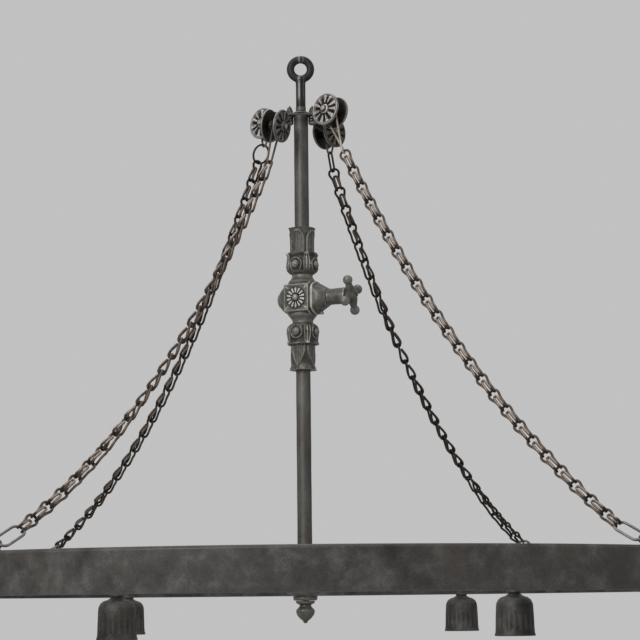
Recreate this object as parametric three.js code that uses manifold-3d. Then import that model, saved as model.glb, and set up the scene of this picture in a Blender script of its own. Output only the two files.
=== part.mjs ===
// Iron hoop chandelier: a gas-pipe stem with an ornamental cock, four pulleys and four folded-link chains.
// Millimetres, +Z up. The origin is where the hanging eye bears on its hook.
import * as THREE from 'three';
import { mergeVertices } from 'three/addons/utils/BufferGeometryUtils.js';
import Module from 'manifold-3d';

const wasm = await Module();
wasm.setup();

// Driving dimensions. Heights are above the hoop's top edge unless a name says otherwise.

// Fit
const seat = 0.3; // gap between two pieces that touch

// Hoop
const hoopRadius = 480;
const hoopHeight = 45;
const hoopThickness = 6;
const hoopFlange = 30; // inward, along the top edge
const flangeThickness = 5;
const hoopChamfer = 2.5;
const hoopFacets = 64;
const cornerTurn = 3; // the four chains stand this many degrees off the hoop's diagonals

// Stem, three-eighths gas pipe
const pipeRadius = 8.6;
const pipeWall = 2.3;
const pipeInsert = 18; // length of pipe inside a socket

// Hanging eye
const eyeHoleRadius = 7.5;
const eyeBarRadius = 4.75;
const neckRadius = 6;
const neckLength = 36;
const neckThreadRadius = 4.6;
const neckThreadLength = 18;

// Bush and plate on the pipe's top end
const bushFlangeRadius = 9.3;
const bushFlange = 2;
const plateHeight = 530.5; // top face
const plateThickness = 3;
const plateHalfWidth = 7.5;
const earSpacing = 13.6; // ear bolts, left and right of the stem
const earRadius = 5.6;
const earBoltRadius = 2.5;
const boltHeadRadius = 4.6;
const boltHead = 3.6;
const acornRadius = 3.9;
const acornHeight = 9.5;

// Pulleys
const pulleyRadius = 19.6;
const grooveWidth = 14;
const discThickness = 3.6;
const discBoss = 1.9;
const drumRadius = 7;
const axleRadius = 2.5;
const axleHeadRadius = 4.5;
const axleHead = 2.7;
const hangerThickness = 3.2;
const hangerRod = 1.5;
const hangerEyeRadius = 6.2;
const hangerBoltEye = 4.7;
const hangerLead = 7.5; // straight run of a hanger's rod out of its bolt eye
const hangerKnee = 21.5; // and beside the pulley, from the axle

// Wire loops and extra links below the pulleys
const loopWire = 1.25;
const loopReach = 0.8; // from the centre of a loop's bend to the crown that it holds
const ringBend = 11.4; // chain ring, on its wire's centre line
const ringLength = 24.6;
const longLinkBend = 3.9; // long link, the same way
const longLinkLength = 25.1;

// Chain links: a wire ring folded in half, an eye above and a fold below
const linkPitch = 24.2;
const linkWire = 1.45;
const eyeHalfWidth = 4.9;
const foldHalfDepth = 4.2;
const waistShare = 0.62; // where the eye closes, as a share of the pitch
const waistHalfGap = 1.7;
const crossingHalf = 2; // half length of the crossing where a fold hooks the next eye
const crossingHeight = 2.8;

// End links and hoop eyes
const endLinkWire = 1.5;
const endLinkLength = 37.5;
const endLinkSlope = 28; // degrees below the horizontal
const endLinkHalfWidth = 7.6;
const eyeInset = 17; // hoop eyes, in from the hoop's outer face
const eyeRingRadius = 4.1;
const eyeRingWire = 1.1;
const eyeRingHeight = 6.6;
const eyeShankRadius = 2;
const eyeShankLength = 9;
const eyeCollar = 1;

// Cock
const cockHeight = 304; // centre of its barrel
const cockBore = 4.8;
const neckColumnRadius = 12.2;
const budRadius = 19.3;
const budBase = 29;
const budTop = 54;
const socketRadius = 14.2;
const socketFlare = 15.9;
const socketEnd = 85;
const barrelRadius = 22.3;
const barrelHalfLength = 30.6;
const barrelTurn = 28; // degrees from +X towards the front
const barrelFlat = 15;
const barrelShoulder = 14.1; // where the barrel narrows towards its boss, from its middle
const bossLength = 35;
const bossRadius = 11.5;
const squareHalf = 15.5;
const squareProud = 2;
const daisyRadius = 5.5;
const daisyHeight = 2.6;
const plugRadius = 8;
const plugStart = 20;
const plugEnd = 30;
const gasWay = 4.4;
const glandRadius = 10.2;
const glandEnd = 59.5;
const spindleRadius = 4.5;
const stopPinRadius = 1.8;
const stopPinReach = 20;
const stopPinPlace = 25.7;
const stopGroove = 2.4;
const cockSweep = 90; // degrees that the handle turns

// Cross handle
const handleHubRadius = 7.8;
const handleThickness = 10;
const handleArm = 19.1;
const handleArmRadius = 3.6;
const handleBall = 5.75;
const handleRoll = 28.4; // first arm, degrees from upright
const handlePinRadius = 1.2;

// Hub, stays, finial and lampholders
const hubTop = 0; // level with the hoop's top edge
const hubRadius = 24;
const hubHeight = 44;
const hubNeckRadius = 13;
const hubNeckHeight = 8;
const stayRadius = 5;
const stayDepth = 24; // stay axis below the hoop's top edge
const stayGrip = 12; // length of stay inside the hub
const stayHeadRadius = 10;
const stayHead = 8;
const finialRadius = 11;
const finialHeight = 26;
const finialStud = 4;
const finialStudLength = 10;
const lampPlace = 300; // lampholder, from the stem's axis
const lampRadius = 20;
const lampWall = 1.8;
const lampRim = 22;
const lampNeckRadius = 6;
const lampTop = 11;
const lampShoulder = 28;
const lampDepth = 68;

// One entry for each corner. Angles are in degrees, anticlockwise from +X, which points right.
// pulley: its centre's distance from the stem's axis, and height. face: where its rosette looks, and tilt.
// lean: slope of the wire loop. loopEnd: its reach from the pulley's centre. catenary: the chain's, more is
// tighter. twist: turn of the links about the chain, at even steps from pulley to hoop. endTwist: the end
// link's. extra: a link between the wire loop and the chain, with its bends' radius, length, slope and turn.
const corners = [
  {
    name: 'front_right', angle: 315, ear: 1, pulley: [47, 525.7], face: [228, 6], upperHanger: true,
    lean: 64.4, loopEnd: 63.8, catenary: 559, twist: [-16, -14, -11, -15, -40], endTwist: -60,
  },
  {
    name: 'front_left', angle: 225, ear: -1, pulley: [45.8, 507.6], face: [332, -8], upperHanger: false,
    lean: 79.4, loopEnd: 48.2, catenary: 490, twist: [60, 130, 130, 60, 30], endTwist: 50,
  },
  {
    name: 'rear_left', angle: 135, ear: -1, pulley: [55.4, 525.4], face: [228, 6], upperHanger: true,
    lean: 87.8, loopEnd: 28.5, catenary: 401, twist: [-10, 20, 60, 65, 65], endTwist: 80,
    extra: { name: 'chain_ring_rear_left', bend: ringBend, length: ringLength, lean: 68.4, twist: 7 },
  },
  {
    name: 'rear_right', angle: 45, ear: 1, pulley: [51.5, 515.9], face: [318, 0], upperHanger: false,
    lean: 93, loopEnd: 27.8, catenary: 419, twist: [43, 60, 125, 125, 50], endTwist: 65,
    extra: { name: 'long_link_rear_right', bend: longLinkBend, length: longLinkLength, lean: 76.1, twist: 18 },
  },
];

// Derived places
const hoopInner = hoopRadius - hoopThickness;
const eyePlace = hoopRadius - eyeInset; // from the stem's axis
const hoopOuterFlat = hoopRadius * Math.cos(Math.PI / hoopFacets); // what the stays' heads bear on
const hangHeight = plateHeight + bushFlange + neckLength + 2 * eyeBarRadius + 2 * eyeHoleRadius;
const pipeBore = pipeRadius - pipeWall;
const pipeTop = plateHeight - plateThickness - seat;
const socketFloor = socketEnd - pipeInsert;
const hangerPlace = seat + hangerThickness / 2 - grooveWidth / 2; // along the axle, from the groove's middle
const drumStart = hangerPlace + hangerThickness / 2 + seat;
const spindleEnd = glandEnd + handleThickness * 0.7;
const crossPinPlace = glandEnd + handleThickness * 0.35; // along the barrel
const up = new THREE.Vector3(0, 0, 1);
const upX = new THREE.Vector3(1, 0, 0);
const upY = new THREE.Vector3(0, 1, 0);
const layDown = new THREE.Matrix4().makeRotationY(Math.PI / 2); // from standing along Z to lying along X

const radians = THREE.MathUtils.degToRad;

function finish(color, roughness, metalness) {
  return new THREE.MeshStandardMaterial({ color, roughness, metalness });
}

const pipeIron = () => finish(0x4b4a46, 0.6, 0.6);
const blackIron = () => finish(0x2f2e2b, 0.65, 0.6);
const castIron = () => finish(0x5a5954, 0.55, 0.6);
const rustedWire = () => finish(0x5b463a, 0.6, 0.6);
const brightWire = () => finish(0x6e6a64, 0.45, 0.7);
const agedBrass = () => finish(0x6b5a3c, 0.5, 0.7);

// A closed solid from a geometry: shared vertices joined, collapsed triangles dropped, faces turned outwards.
function solid(geometry) {
  const bare = geometry.clone();
  bare.deleteAttribute('normal');
  bare.deleteAttribute('uv');
  const merged = mergeVertices(bare, 1e-4);
  const position = merged.getAttribute('position').array;
  const index = merged.getIndex().array;
  const triangles = [];
  let volume = 0;
  for (let i = 0; i < index.length; i += 3) {
    const [a, b, c] = [index[i], index[i + 1], index[i + 2]];
    if (a === b || b === c || c === a) continue;
    triangles.push(a, b, c);
    const [p, q, r] = [a, b, c].map((k) => new THREE.Vector3().fromArray(position, 3 * k));
    volume += p.dot(q.cross(r));
  }
  if (volume < 0) triangles.reverse();
  return new wasm.Manifold(new wasm.Mesh({
    numProp: 3,
    vertProperties: new Float32Array(position),
    triVerts: new Uint32Array(triangles),
  }));
}

function joined(...geometries) {
  return geometries.map(solid).reduce((whole, next) => whole.add(next));
}

function cut(body, ...tools) {
  return tools.map(solid).reduce((rest, tool) => rest.subtract(tool), body);
}

function geometryOf(body) {
  const mesh = body.getMesh();
  const geometry = new THREE.BufferGeometry();
  geometry.setAttribute('position', new THREE.BufferAttribute(mesh.vertProperties, 3));
  geometry.setIndex(new THREE.BufferAttribute(mesh.triVerts, 1));
  geometry.computeVertexNormals();
  return geometry;
}

function piece(name, body, material, parent) {
  const mesh = new THREE.Mesh(geometryOf(body), material);
  mesh.name = name;
  parent.add(mesh);
  return mesh;
}

// A solid of revolution about Z from [radius, height] points. A hollow one passes its closed outline.
function turned(outline, segments, hollow = false) {
  const points = outline.map(([radius, height]) => new THREE.Vector2(radius, height));
  if (hollow) points.push(points[0].clone());
  return new THREE.LatheGeometry(points, segments).rotateX(Math.PI / 2);
}

// A round bar between two points
function bar(from, to, radius, segments, endRadius = radius) {
  const along = new THREE.Vector3().subVectors(to, from);
  const geometry = new THREE.CylinderGeometry(endRadius, radius, along.length(), segments);
  const turn = new THREE.Quaternion().setFromUnitVectors(upY, along.normalize());
  const middle = new THREE.Vector3().addVectors(from, to).multiplyScalar(0.5);
  return geometry.applyQuaternion(turn).translate(middle.x, middle.y, middle.z);
}

// A round rod bent sharply at each inner point
function rod(points, radius, sides) {
  const path = new THREE.CurvePath();
  for (let i = 1; i < points.length; i += 1) {
    path.add(new THREE.LineCurve3(points[i - 1], points[i]));
  }
  const circle = new THREE.Shape();
  for (let i = 0; i < sides; i += 1) {
    const angle = (2 * Math.PI * i) / sides;
    const [x, y] = [radius * Math.cos(angle), radius * Math.sin(angle)];
    if (i === 0) circle.moveTo(x, y);
    else circle.lineTo(x, y);
  }
  return new THREE.ExtrudeGeometry(circle, { steps: 6, extrudePath: path, bevelEnabled: false });
}

// Corner radius of a faceted hole whose flats clear a round of the radius
function clearOf(radius, segments) {
  return (radius + seat) / Math.cos(Math.PI / segments);
}

function bore(from, to, radius, segments) {
  return bar(from, to, clearOf(radius, segments), segments);
}

function block(width, depth, height, x, y, z) {
  return new THREE.BoxGeometry(width, depth, height).translate(x, y, z);
}

// A closed wire through points that end where they start
function wire(points, radius, sides) {
  const count = points.length;
  const at = (i) => points[(i + count) % count];
  const tangents = points.map((p, i) => new THREE.Vector3().subVectors(at(i + 1), at(i - 1)).normalize());
  const normals = [new THREE.Vector3().crossVectors(tangents[0], up)];
  if (normals[0].length() < 0.1) normals[0].crossVectors(tangents[0], upX);
  normals[0].normalize();
  const carried = new THREE.Quaternion();
  for (let i = 1; i <= count; i += 1) {
    carried.setFromUnitVectors(tangents[i - 1], tangents[i % count]);
    normals.push(normals[i - 1].clone().applyQuaternion(carried));
  }
  const side = new THREE.Vector3().crossVectors(tangents[0], normals[0]);
  const slip = Math.atan2(normals[count].dot(side), normals[count].dot(normals[0]));
  const vertices = [];
  const index = [];
  for (let i = 0; i < count; i += 1) {
    const normal = normals[i].clone().applyAxisAngle(tangents[i], (-slip * i) / count);
    const binormal = new THREE.Vector3().crossVectors(tangents[i], normal);
    for (let j = 0; j < sides; j += 1) {
      const angle = (2 * Math.PI * j) / sides;
      const vertex = points[i].clone();
      vertex.addScaledVector(normal, radius * Math.cos(angle));
      vertex.addScaledVector(binormal, radius * Math.sin(angle));
      vertices.push(vertex.x, vertex.y, vertex.z);
      const [a, b] = [i * sides + j, i * sides + ((j + 1) % sides)];
      const [c, d] = [((i + 1) % count) * sides + j, ((i + 1) % count) * sides + ((j + 1) % sides)];
      index.push(a, b, d, a, d, c);
    }
  }
  const geometry = new THREE.BufferGeometry();
  geometry.setAttribute('position', new THREE.Float32BufferAttribute(vertices, 3));
  geometry.setIndex(index);
  return geometry;
}

// Half a turn of a bend: from one side, past the far end, to the other side. An odd number of steps puts a
// flat at the far end, and the flats keep the radius.
function bend(centre, along, across, radius, steps) {
  const reach = radius / Math.cos(Math.PI / (2 * steps));
  const points = [];
  for (let i = 0; i <= steps; i += 1) {
    const angle = (Math.PI * i) / steps;
    const point = centre.clone().addScaledVector(across, reach * Math.cos(angle));
    points.push(point.addScaledVector(along, reach * Math.sin(angle)));
  }
  return points;
}

// A long round-ended link: near and far bend centres, and the direction across it
function longLink(near, far, across, radius, wireRadius) {
  const along = new THREE.Vector3().subVectors(far, near).normalize();
  const back = along.clone().negate();
  const points = [
    ...bend(far, along, across, radius, 5),
    ...bend(near, back, across.clone().negate(), radius, 5),
  ];
  return wire(points, wireRadius, 5);
}

const chandelier = new THREE.Group();
const hung = new THREE.Group();
hung.position.z = -hangHeight;
chandelier.add(hung);

function addHangingEye() {
  const centre = hangHeight - eyeHoleRadius;
  const ring = new THREE.TorusGeometry(eyeHoleRadius + eyeBarRadius, eyeBarRadius, 7, 18);
  ring.rotateX(Math.PI / 2).translate(0, 0, centre);
  const foot = plateHeight + bushFlange + seat;
  const ringBottom = centre - eyeHoleRadius - eyeBarRadius;
  const neck = turned([
    [0, foot - neckThreadLength],
    [neckThreadRadius, foot - neckThreadLength],
    [neckThreadRadius, foot],
    [neckRadius, foot],
    [neckRadius, ringBottom - eyeBarRadius],
    [neckRadius + 1.5, ringBottom - eyeBarRadius / 2],
    [neckRadius - 1, ringBottom],
    [0, ringBottom],
  ], 12);
  piece('hanging_eye', joined(ring, neck), blackIron(), hung);
}

function addBush() {
  const inside = clearOf(neckThreadRadius, 16);
  const outline = [
    [inside, plateHeight + bushFlange],
    [inside, pipeTop - pipeInsert / 2],
    [pipeBore - seat, pipeTop - pipeInsert / 2],
    [pipeBore - seat, plateHeight + seat],
    [bushFlangeRadius, plateHeight + seat],
    [bushFlangeRadius, plateHeight + bushFlange],
  ];
  piece('top_bush', solid(turned(outline, 16, true)), pipeIron(), hung);
}

function addPulleyPlate() {
  const middle = plateHeight - plateThickness / 2;
  const ears = [-1, 1].map((side) => bar(
    new THREE.Vector3(side * earSpacing, 0, plateHeight - plateThickness),
    new THREE.Vector3(side * earSpacing, 0, plateHeight),
    earRadius,
    12,
  ));
  const drill = (x, radius) => bore(
    new THREE.Vector3(x, 0, plateHeight - 2 * plateThickness),
    new THREE.Vector3(x, 0, plateHeight + plateThickness),
    radius,
    12,
  );
  const web = block(2 * earSpacing, 2 * plateHalfWidth, plateThickness, 0, 0, middle);
  const plate = cut(
    joined(web, ...ears),
    drill(0, pipeBore - seat),
    drill(-earSpacing, earBoltRadius),
    drill(earSpacing, earBoltRadius),
  );
  piece('pulley_plate', plate, blackIron(), hung);
}

// Height of the middle of a hanger's eye on its ear bolt
function hangerHeight(upper) {
  const below = plateHeight - plateThickness - seat - hangerThickness / 2;
  return upper ? below : below - hangerThickness - seat;
}

function addEarBolts() {
  const headTop = hangerHeight(false) - hangerThickness / 2 - seat;
  const acornFoot = plateHeight + seat;
  const threadTop = acornFoot + acornHeight / 2;
  for (const [side, x] of [['left', -earSpacing], ['right', earSpacing]]) {
    const head = bar(
      new THREE.Vector3(0, 0, headTop - boltHead),
      new THREE.Vector3(0, 0, headTop),
      boltHeadRadius,
      6,
    );
    const shank = bar(
      new THREE.Vector3(0, 0, headTop - boltHead / 2),
      new THREE.Vector3(0, 0, threadTop),
      earBoltRadius,
      12,
    );
    piece(`ear_bolt_${side}`, joined(head, shank), blackIron(), hung).position.x = x;
    const inside = clearOf(earBoltRadius, 12);
    const roof = threadTop + seat;
    const acorn = turned([
      [inside, acornFoot],
      [acornRadius, acornFoot],
      [acornRadius, acornFoot + acornHeight * 0.5],
      [acornRadius * 0.6, acornFoot + acornHeight * 0.85],
      [0, acornFoot + acornHeight],
      [0, roof],
      [inside, roof],
    ], 12, true);
    piece(`acorn_nut_${side}`, solid(acorn), agedBrass(), hung).position.x = x;
  }
}

function addStem() {
  const pipe = (bottom, top) => solid(turned([
    [pipeBore, bottom],
    [pipeRadius, bottom],
    [pipeRadius, top],
    [pipeBore, top],
  ], 16, true));
  piece('upper_stem', pipe(cockHeight + socketFloor + seat, pipeTop), pipeIron(), hung);
  piece('lower_stem', pipe(hubTop - pipeInsert + seat, cockHeight - socketFloor - seat), pipeIron(), hung);
}

const cock = new THREE.Group();
cock.position.z = cockHeight;
hung.add(cock);

// Across the stem. Its +X runs from the barrel's domed end to the handle.
const barrel = new THREE.Group();
barrel.rotation.z = -radians(barrelTurn);
cock.add(barrel);

function alongBarrel(outline, segments, hollow) {
  return turned(outline, segments, hollow).applyMatrix4(layDown);
}

function addCockBody() {
  const budHeight = budTop - budBase;
  const half = [
    [neckColumnRadius, 0],
    [neckColumnRadius, budBase],
    [budRadius * 0.88, budBase + budHeight * 0.14],
    [budRadius, budBase + budHeight * 0.55],
    [budRadius * 0.95, budTop],
    [socketRadius, budTop],
    [socketRadius, socketEnd - 9],
    [socketFlare, socketEnd],
    [clearOf(pipeRadius, 16), socketEnd],
    [clearOf(pipeRadius, 16), socketFloor],
    [cockBore, socketFloor],
  ];
  const mirrored = half.slice(1).reverse().map(([radius, height]) => [radius, -height]);
  const column = turned([...half, ...mirrored], 16, true);

  const dome = [];
  const domeSteps = 6;
  const domeEnd = Math.acos(-barrelShoulder / barrelHalfLength);
  for (let i = 0; i <= domeSteps; i += 1) {
    const angle = (domeEnd * i) / domeSteps;
    dome.push([barrelRadius * Math.sin(angle), -barrelHalfLength * Math.cos(angle)]);
  }
  const barrelBody = alongBarrel([...dome, [bossRadius, bossLength], [0, bossLength]], 18);
  const wide = 4 * barrelHalfLength;
  const sides = [-1, 1];
  const faces = sides.map((side) => block(wide, wide, wide, 0, side * (barrelFlat + wide / 2), 0));
  const squares = sides.map((side) => block(
    2 * squareHalf,
    2 * squareProud + 2,
    2 * squareHalf,
    0,
    side * (barrelFlat - 1),
    0,
  ));
  const daisies = sides.map((side) => turned([
    [0, barrelFlat - 1],
    [daisyRadius, barrelFlat - 1],
    [daisyRadius, barrelFlat + squareProud],
    [daisyRadius * 0.6, barrelFlat + squareProud + daisyHeight * 0.8],
    [0, barrelFlat + squareProud + daisyHeight],
  ], 10).rotateX((side * Math.PI) / 2));
  const plugBore = bore(
    new THREE.Vector3(-plugStart - seat, 0, 0),
    new THREE.Vector3(2 * bossLength, 0, 0),
    plugRadius,
    16,
  );
  const pinHole = bore(
    new THREE.Vector3(stopPinPlace, 0, 0),
    new THREE.Vector3(stopPinPlace, 0, -2 * barrelRadius),
    stopPinRadius,
    10,
  );
  const gasBore = bar(
    new THREE.Vector3(0, 0, -socketEnd),
    new THREE.Vector3(0, 0, socketEnd),
    cockBore,
    12,
  );
  const turnBarrel = new THREE.Matrix4().makeRotationZ(barrel.rotation.z);
  const flattened = cut(solid(barrelBody), ...faces);
  const ornament = [...squares, ...daisies].map(solid).reduce((whole, next) => whole.add(next), flattened);
  const body = cut(
    ornament.transform(turnBarrel.elements).add(solid(column)),
    gasBore,
    plugBore.applyMatrix4(turnBarrel),
    pinHole.applyMatrix4(turnBarrel),
  );
  piece('cock_body', body, castIron(), cock);
}

function crossPinBar(makeBar, halfLength) {
  const pin = makeBar(
    new THREE.Vector3(crossPinPlace, -halfLength, 0),
    new THREE.Vector3(crossPinPlace, halfLength, 0),
    handlePinRadius,
    8,
  );
  return pin.rotateX(radians(handleRoll + 45));
}

function addCockPlug() {
  const plug = alongBarrel([
    [0, -plugStart],
    [plugRadius, -plugStart],
    [plugRadius, plugEnd],
    [spindleRadius, plugEnd],
    [spindleRadius, spindleEnd],
    [0, spindleEnd],
  ], 16);
  const wayReach = plugRadius + 1;
  const way = bar(new THREE.Vector3(0, 0, -wayReach), new THREE.Vector3(0, 0, wayReach), gasWay, 12);
  const grooveInner = plugRadius - stopGroove;
  const pinHalfAngle = (stopPinRadius + seat) / grooveInner;
  const sector = new THREE.Shape();
  const sectorFrom = -pinHalfAngle;
  const sectorTo = radians(cockSweep) + pinHalfAngle;
  sector.absarc(0, 0, 2 * plugRadius, sectorFrom, sectorTo, false);
  sector.absarc(0, 0, grooveInner, sectorTo, sectorFrom, true);
  const depth = 2 * (stopPinRadius + seat);
  const groove = new THREE.ExtrudeGeometry(sector, { depth, bevelEnabled: false, curveSegments: 7 });
  groove.translate(0, 0, stopPinPlace - depth / 2).applyMatrix4(layDown);
  const crossPinHole = crossPinBar(bore, 2 * handleHubRadius);
  piece('cock_plug', cut(solid(plug), way, groove, crossPinHole), agedBrass(), barrel);

  const stopPin = bar(
    new THREE.Vector3(stopPinPlace, 0, -(grooveInner + seat)),
    new THREE.Vector3(stopPinPlace, 0, -stopPinReach),
    stopPinRadius,
    10,
  );
  piece('stop_pin', solid(stopPin), castIron(), barrel);
}

function addGlandNut() {
  const gland = alongBarrel([
    [clearOf(spindleRadius, 16), plugEnd + seat],
    [plugRadius, plugEnd + seat],
    [plugRadius, bossLength + seat],
    [glandRadius, bossLength + seat],
    [glandRadius, glandEnd],
    [clearOf(spindleRadius, 16), glandEnd],
  ], 16, true);
  piece('gland_nut', solid(gland), castIron(), barrel);
}

function addCrossHandle() {
  const hubFrom = glandEnd + seat;
  const hubTo = hubFrom + handleThickness;
  const handleHub = alongBarrel([
    [clearOf(spindleRadius, 12), hubFrom],
    [handleHubRadius, hubFrom],
    [handleHubRadius, hubTo - 2],
    [handleHubRadius * 0.7, hubTo],
    [0, hubTo],
    [0, hubTo - 2],
    [clearOf(spindleRadius, 12), hubTo - 2],
  ], 12, true);
  const armPlace = (hubFrom + hubTo) / 2;
  const limbs = [];
  for (let i = 0; i < 4; i += 1) {
    const spin = radians(handleRoll + 90 * i);
    const root = new THREE.Vector3(armPlace, 0, spindleRadius + 1.5);
    const tip = new THREE.Vector3(armPlace, 0, handleArm);
    limbs.push(bar(root, tip, handleArmRadius * 1.25, 6, handleArmRadius * 0.8).rotateX(spin));
    const ball = new THREE.SphereGeometry(handleBall, 8, 4).translate(armPlace, 0, handleArm);
    limbs.push(ball.rotateX(spin));
  }
  const handle = cut(joined(handleHub, ...limbs), crossPinBar(bore, 2 * handleHubRadius));
  piece('cross_handle', handle, castIron(), barrel);
  piece('handle_pin', solid(crossPinBar(bar, handleHubRadius)), brightWire(), barrel);
}

function addHub() {
  const bottom = hubTop - hubHeight - hubNeckHeight;
  const shoulder = hubTop - hubNeckHeight;
  const inside = clearOf(pipeRadius, 16);
  const studHole = clearOf(finialStud, 16);
  const outline = [
    [inside, hubTop],
    [inside, hubTop - pipeInsert],
    [pipeBore, hubTop - pipeInsert],
    [pipeBore, bottom + finialStudLength + 2],
    [studHole, bottom + finialStudLength + 2],
    [studHole, bottom],
    [hubNeckRadius, bottom],
    [hubRadius, bottom + 10],
    [hubRadius, shoulder - 3],
    [hubNeckRadius, shoulder],
    [hubNeckRadius, hubTop],
  ];
  const bores = corners.map(({ angle }) => bore(
    new THREE.Vector3(hubRadius - stayGrip - seat, 0, -stayDepth),
    new THREE.Vector3(2 * hubRadius, 0, -stayDepth),
    stayRadius,
    8,
  ).rotateZ(radians(angle + cornerTurn)));
  piece('hub', cut(solid(turned(outline, 16, true)), ...bores), castIron(), hung);

  const top = bottom - seat;
  const finial = turned([
    [0, top + finialStudLength],
    [finialStud, top + finialStudLength],
    [finialStud, top],
    [finialRadius, top],
    [finialRadius, top - finialHeight * 0.1],
    [finialRadius * 0.6, top - finialHeight * 0.2],
    [finialRadius, top - finialHeight * 0.45],
    [finialRadius * 0.75, top - finialHeight * 0.75],
    [0, top - finialHeight],
  ], 12);
  piece('finial', solid(finial), castIron(), hung);
}

function addHoop() {
  const outline = [
    [hoopInner, -hoopHeight],
    [hoopRadius, -hoopHeight],
    [hoopRadius, -hoopChamfer],
    [hoopRadius - hoopChamfer, 0],
    [hoopRadius - hoopFlange, 0],
    [hoopRadius - hoopFlange, -flangeThickness],
    [hoopInner, -flangeThickness],
  ];
  const halfFacet = Math.PI / hoopFacets;
  const ring = turned(outline, hoopFacets, true).rotateZ(radians(45 + cornerTurn) + halfFacet);
  const holes = [];
  for (const { angle } of corners) {
    const turn = radians(angle + cornerTurn);
    holes.push(bore(
      new THREE.Vector3(hoopInner - hoopThickness, 0, -stayDepth),
      new THREE.Vector3(hoopRadius + hoopThickness, 0, -stayDepth),
      stayRadius,
      8,
    ).rotateZ(turn));
    holes.push(bore(
      new THREE.Vector3(eyePlace, 0, -2 * flangeThickness),
      new THREE.Vector3(eyePlace, 0, flangeThickness),
      eyeShankRadius,
      8,
    ).rotateZ(turn));
  }
  piece('hoop', cut(solid(ring), ...holes), blackIron(), hung);
}

// Pieces that repeat round the hoop. In a corner's group +X points outwards.
function addCornerPieces({ name, angle }) {
  const corner = new THREE.Group();
  corner.rotation.z = radians(angle + cornerTurn);
  hung.add(corner);

  const headFrom = hoopOuterFlat + seat;
  const stay = turned([
    [0, hubRadius - stayGrip],
    [stayRadius, hubRadius - stayGrip],
    [stayRadius, headFrom],
    [stayHeadRadius, headFrom],
    [stayHeadRadius * 0.9, headFrom + stayHead * 0.45],
    [stayHeadRadius * 0.5, headFrom + stayHead * 0.9],
    [0, headFrom + stayHead],
  ], 8).applyMatrix4(layDown);
  piece(`stay_${name}`, solid(stay), blackIron(), corner).position.z = -stayDepth;

  const inner = lampRadius - lampWall;
  const lamp = turned([
    [0, lampTop],
    [stayRadius + 4, lampTop - 3],
    [stayRadius + 4, -lampTop + 3],
    [lampNeckRadius, -lampShoulder + 6],
    [lampRadius * 0.85, -lampShoulder],
    [lampRadius, -lampShoulder - 9],
    [lampRim, -lampDepth],
    [inner, -lampDepth],
    [inner, -lampShoulder - 9],
    [0, -lampShoulder - 2],
  ], 14);
  const stayBore = bore(
    new THREE.Vector3(-lampRadius * 2, 0, 0),
    new THREE.Vector3(lampRadius * 2, 0, 0),
    stayRadius,
    8,
  );
  const lampholder = piece(`lampholder_${name}`, cut(solid(lamp), stayBore), blackIron(), corner);
  lampholder.position.set(lampPlace, 0, -stayDepth);

  const ring = new THREE.TorusGeometry(eyeRingRadius, eyeRingWire, 5, 10).rotateX(Math.PI / 2);
  ring.translate(0, 0, eyeRingHeight);
  const shank = turned([
    [0, -eyeShankLength],
    [eyeShankRadius, -eyeShankLength],
    [eyeShankRadius, seat],
    [eyeShankRadius + 1.2, seat],
    [eyeShankRadius + 1.2, seat + eyeCollar],
    [eyeShankRadius, eyeRingHeight - eyeRingRadius + eyeRingWire / 2],
    [0, eyeRingHeight - eyeRingRadius + eyeRingWire / 2],
  ], 8);
  piece(`hoop_eye_${name}`, joined(ring, shank), brightWire(), corner).position.x = eyePlace;
}

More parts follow.
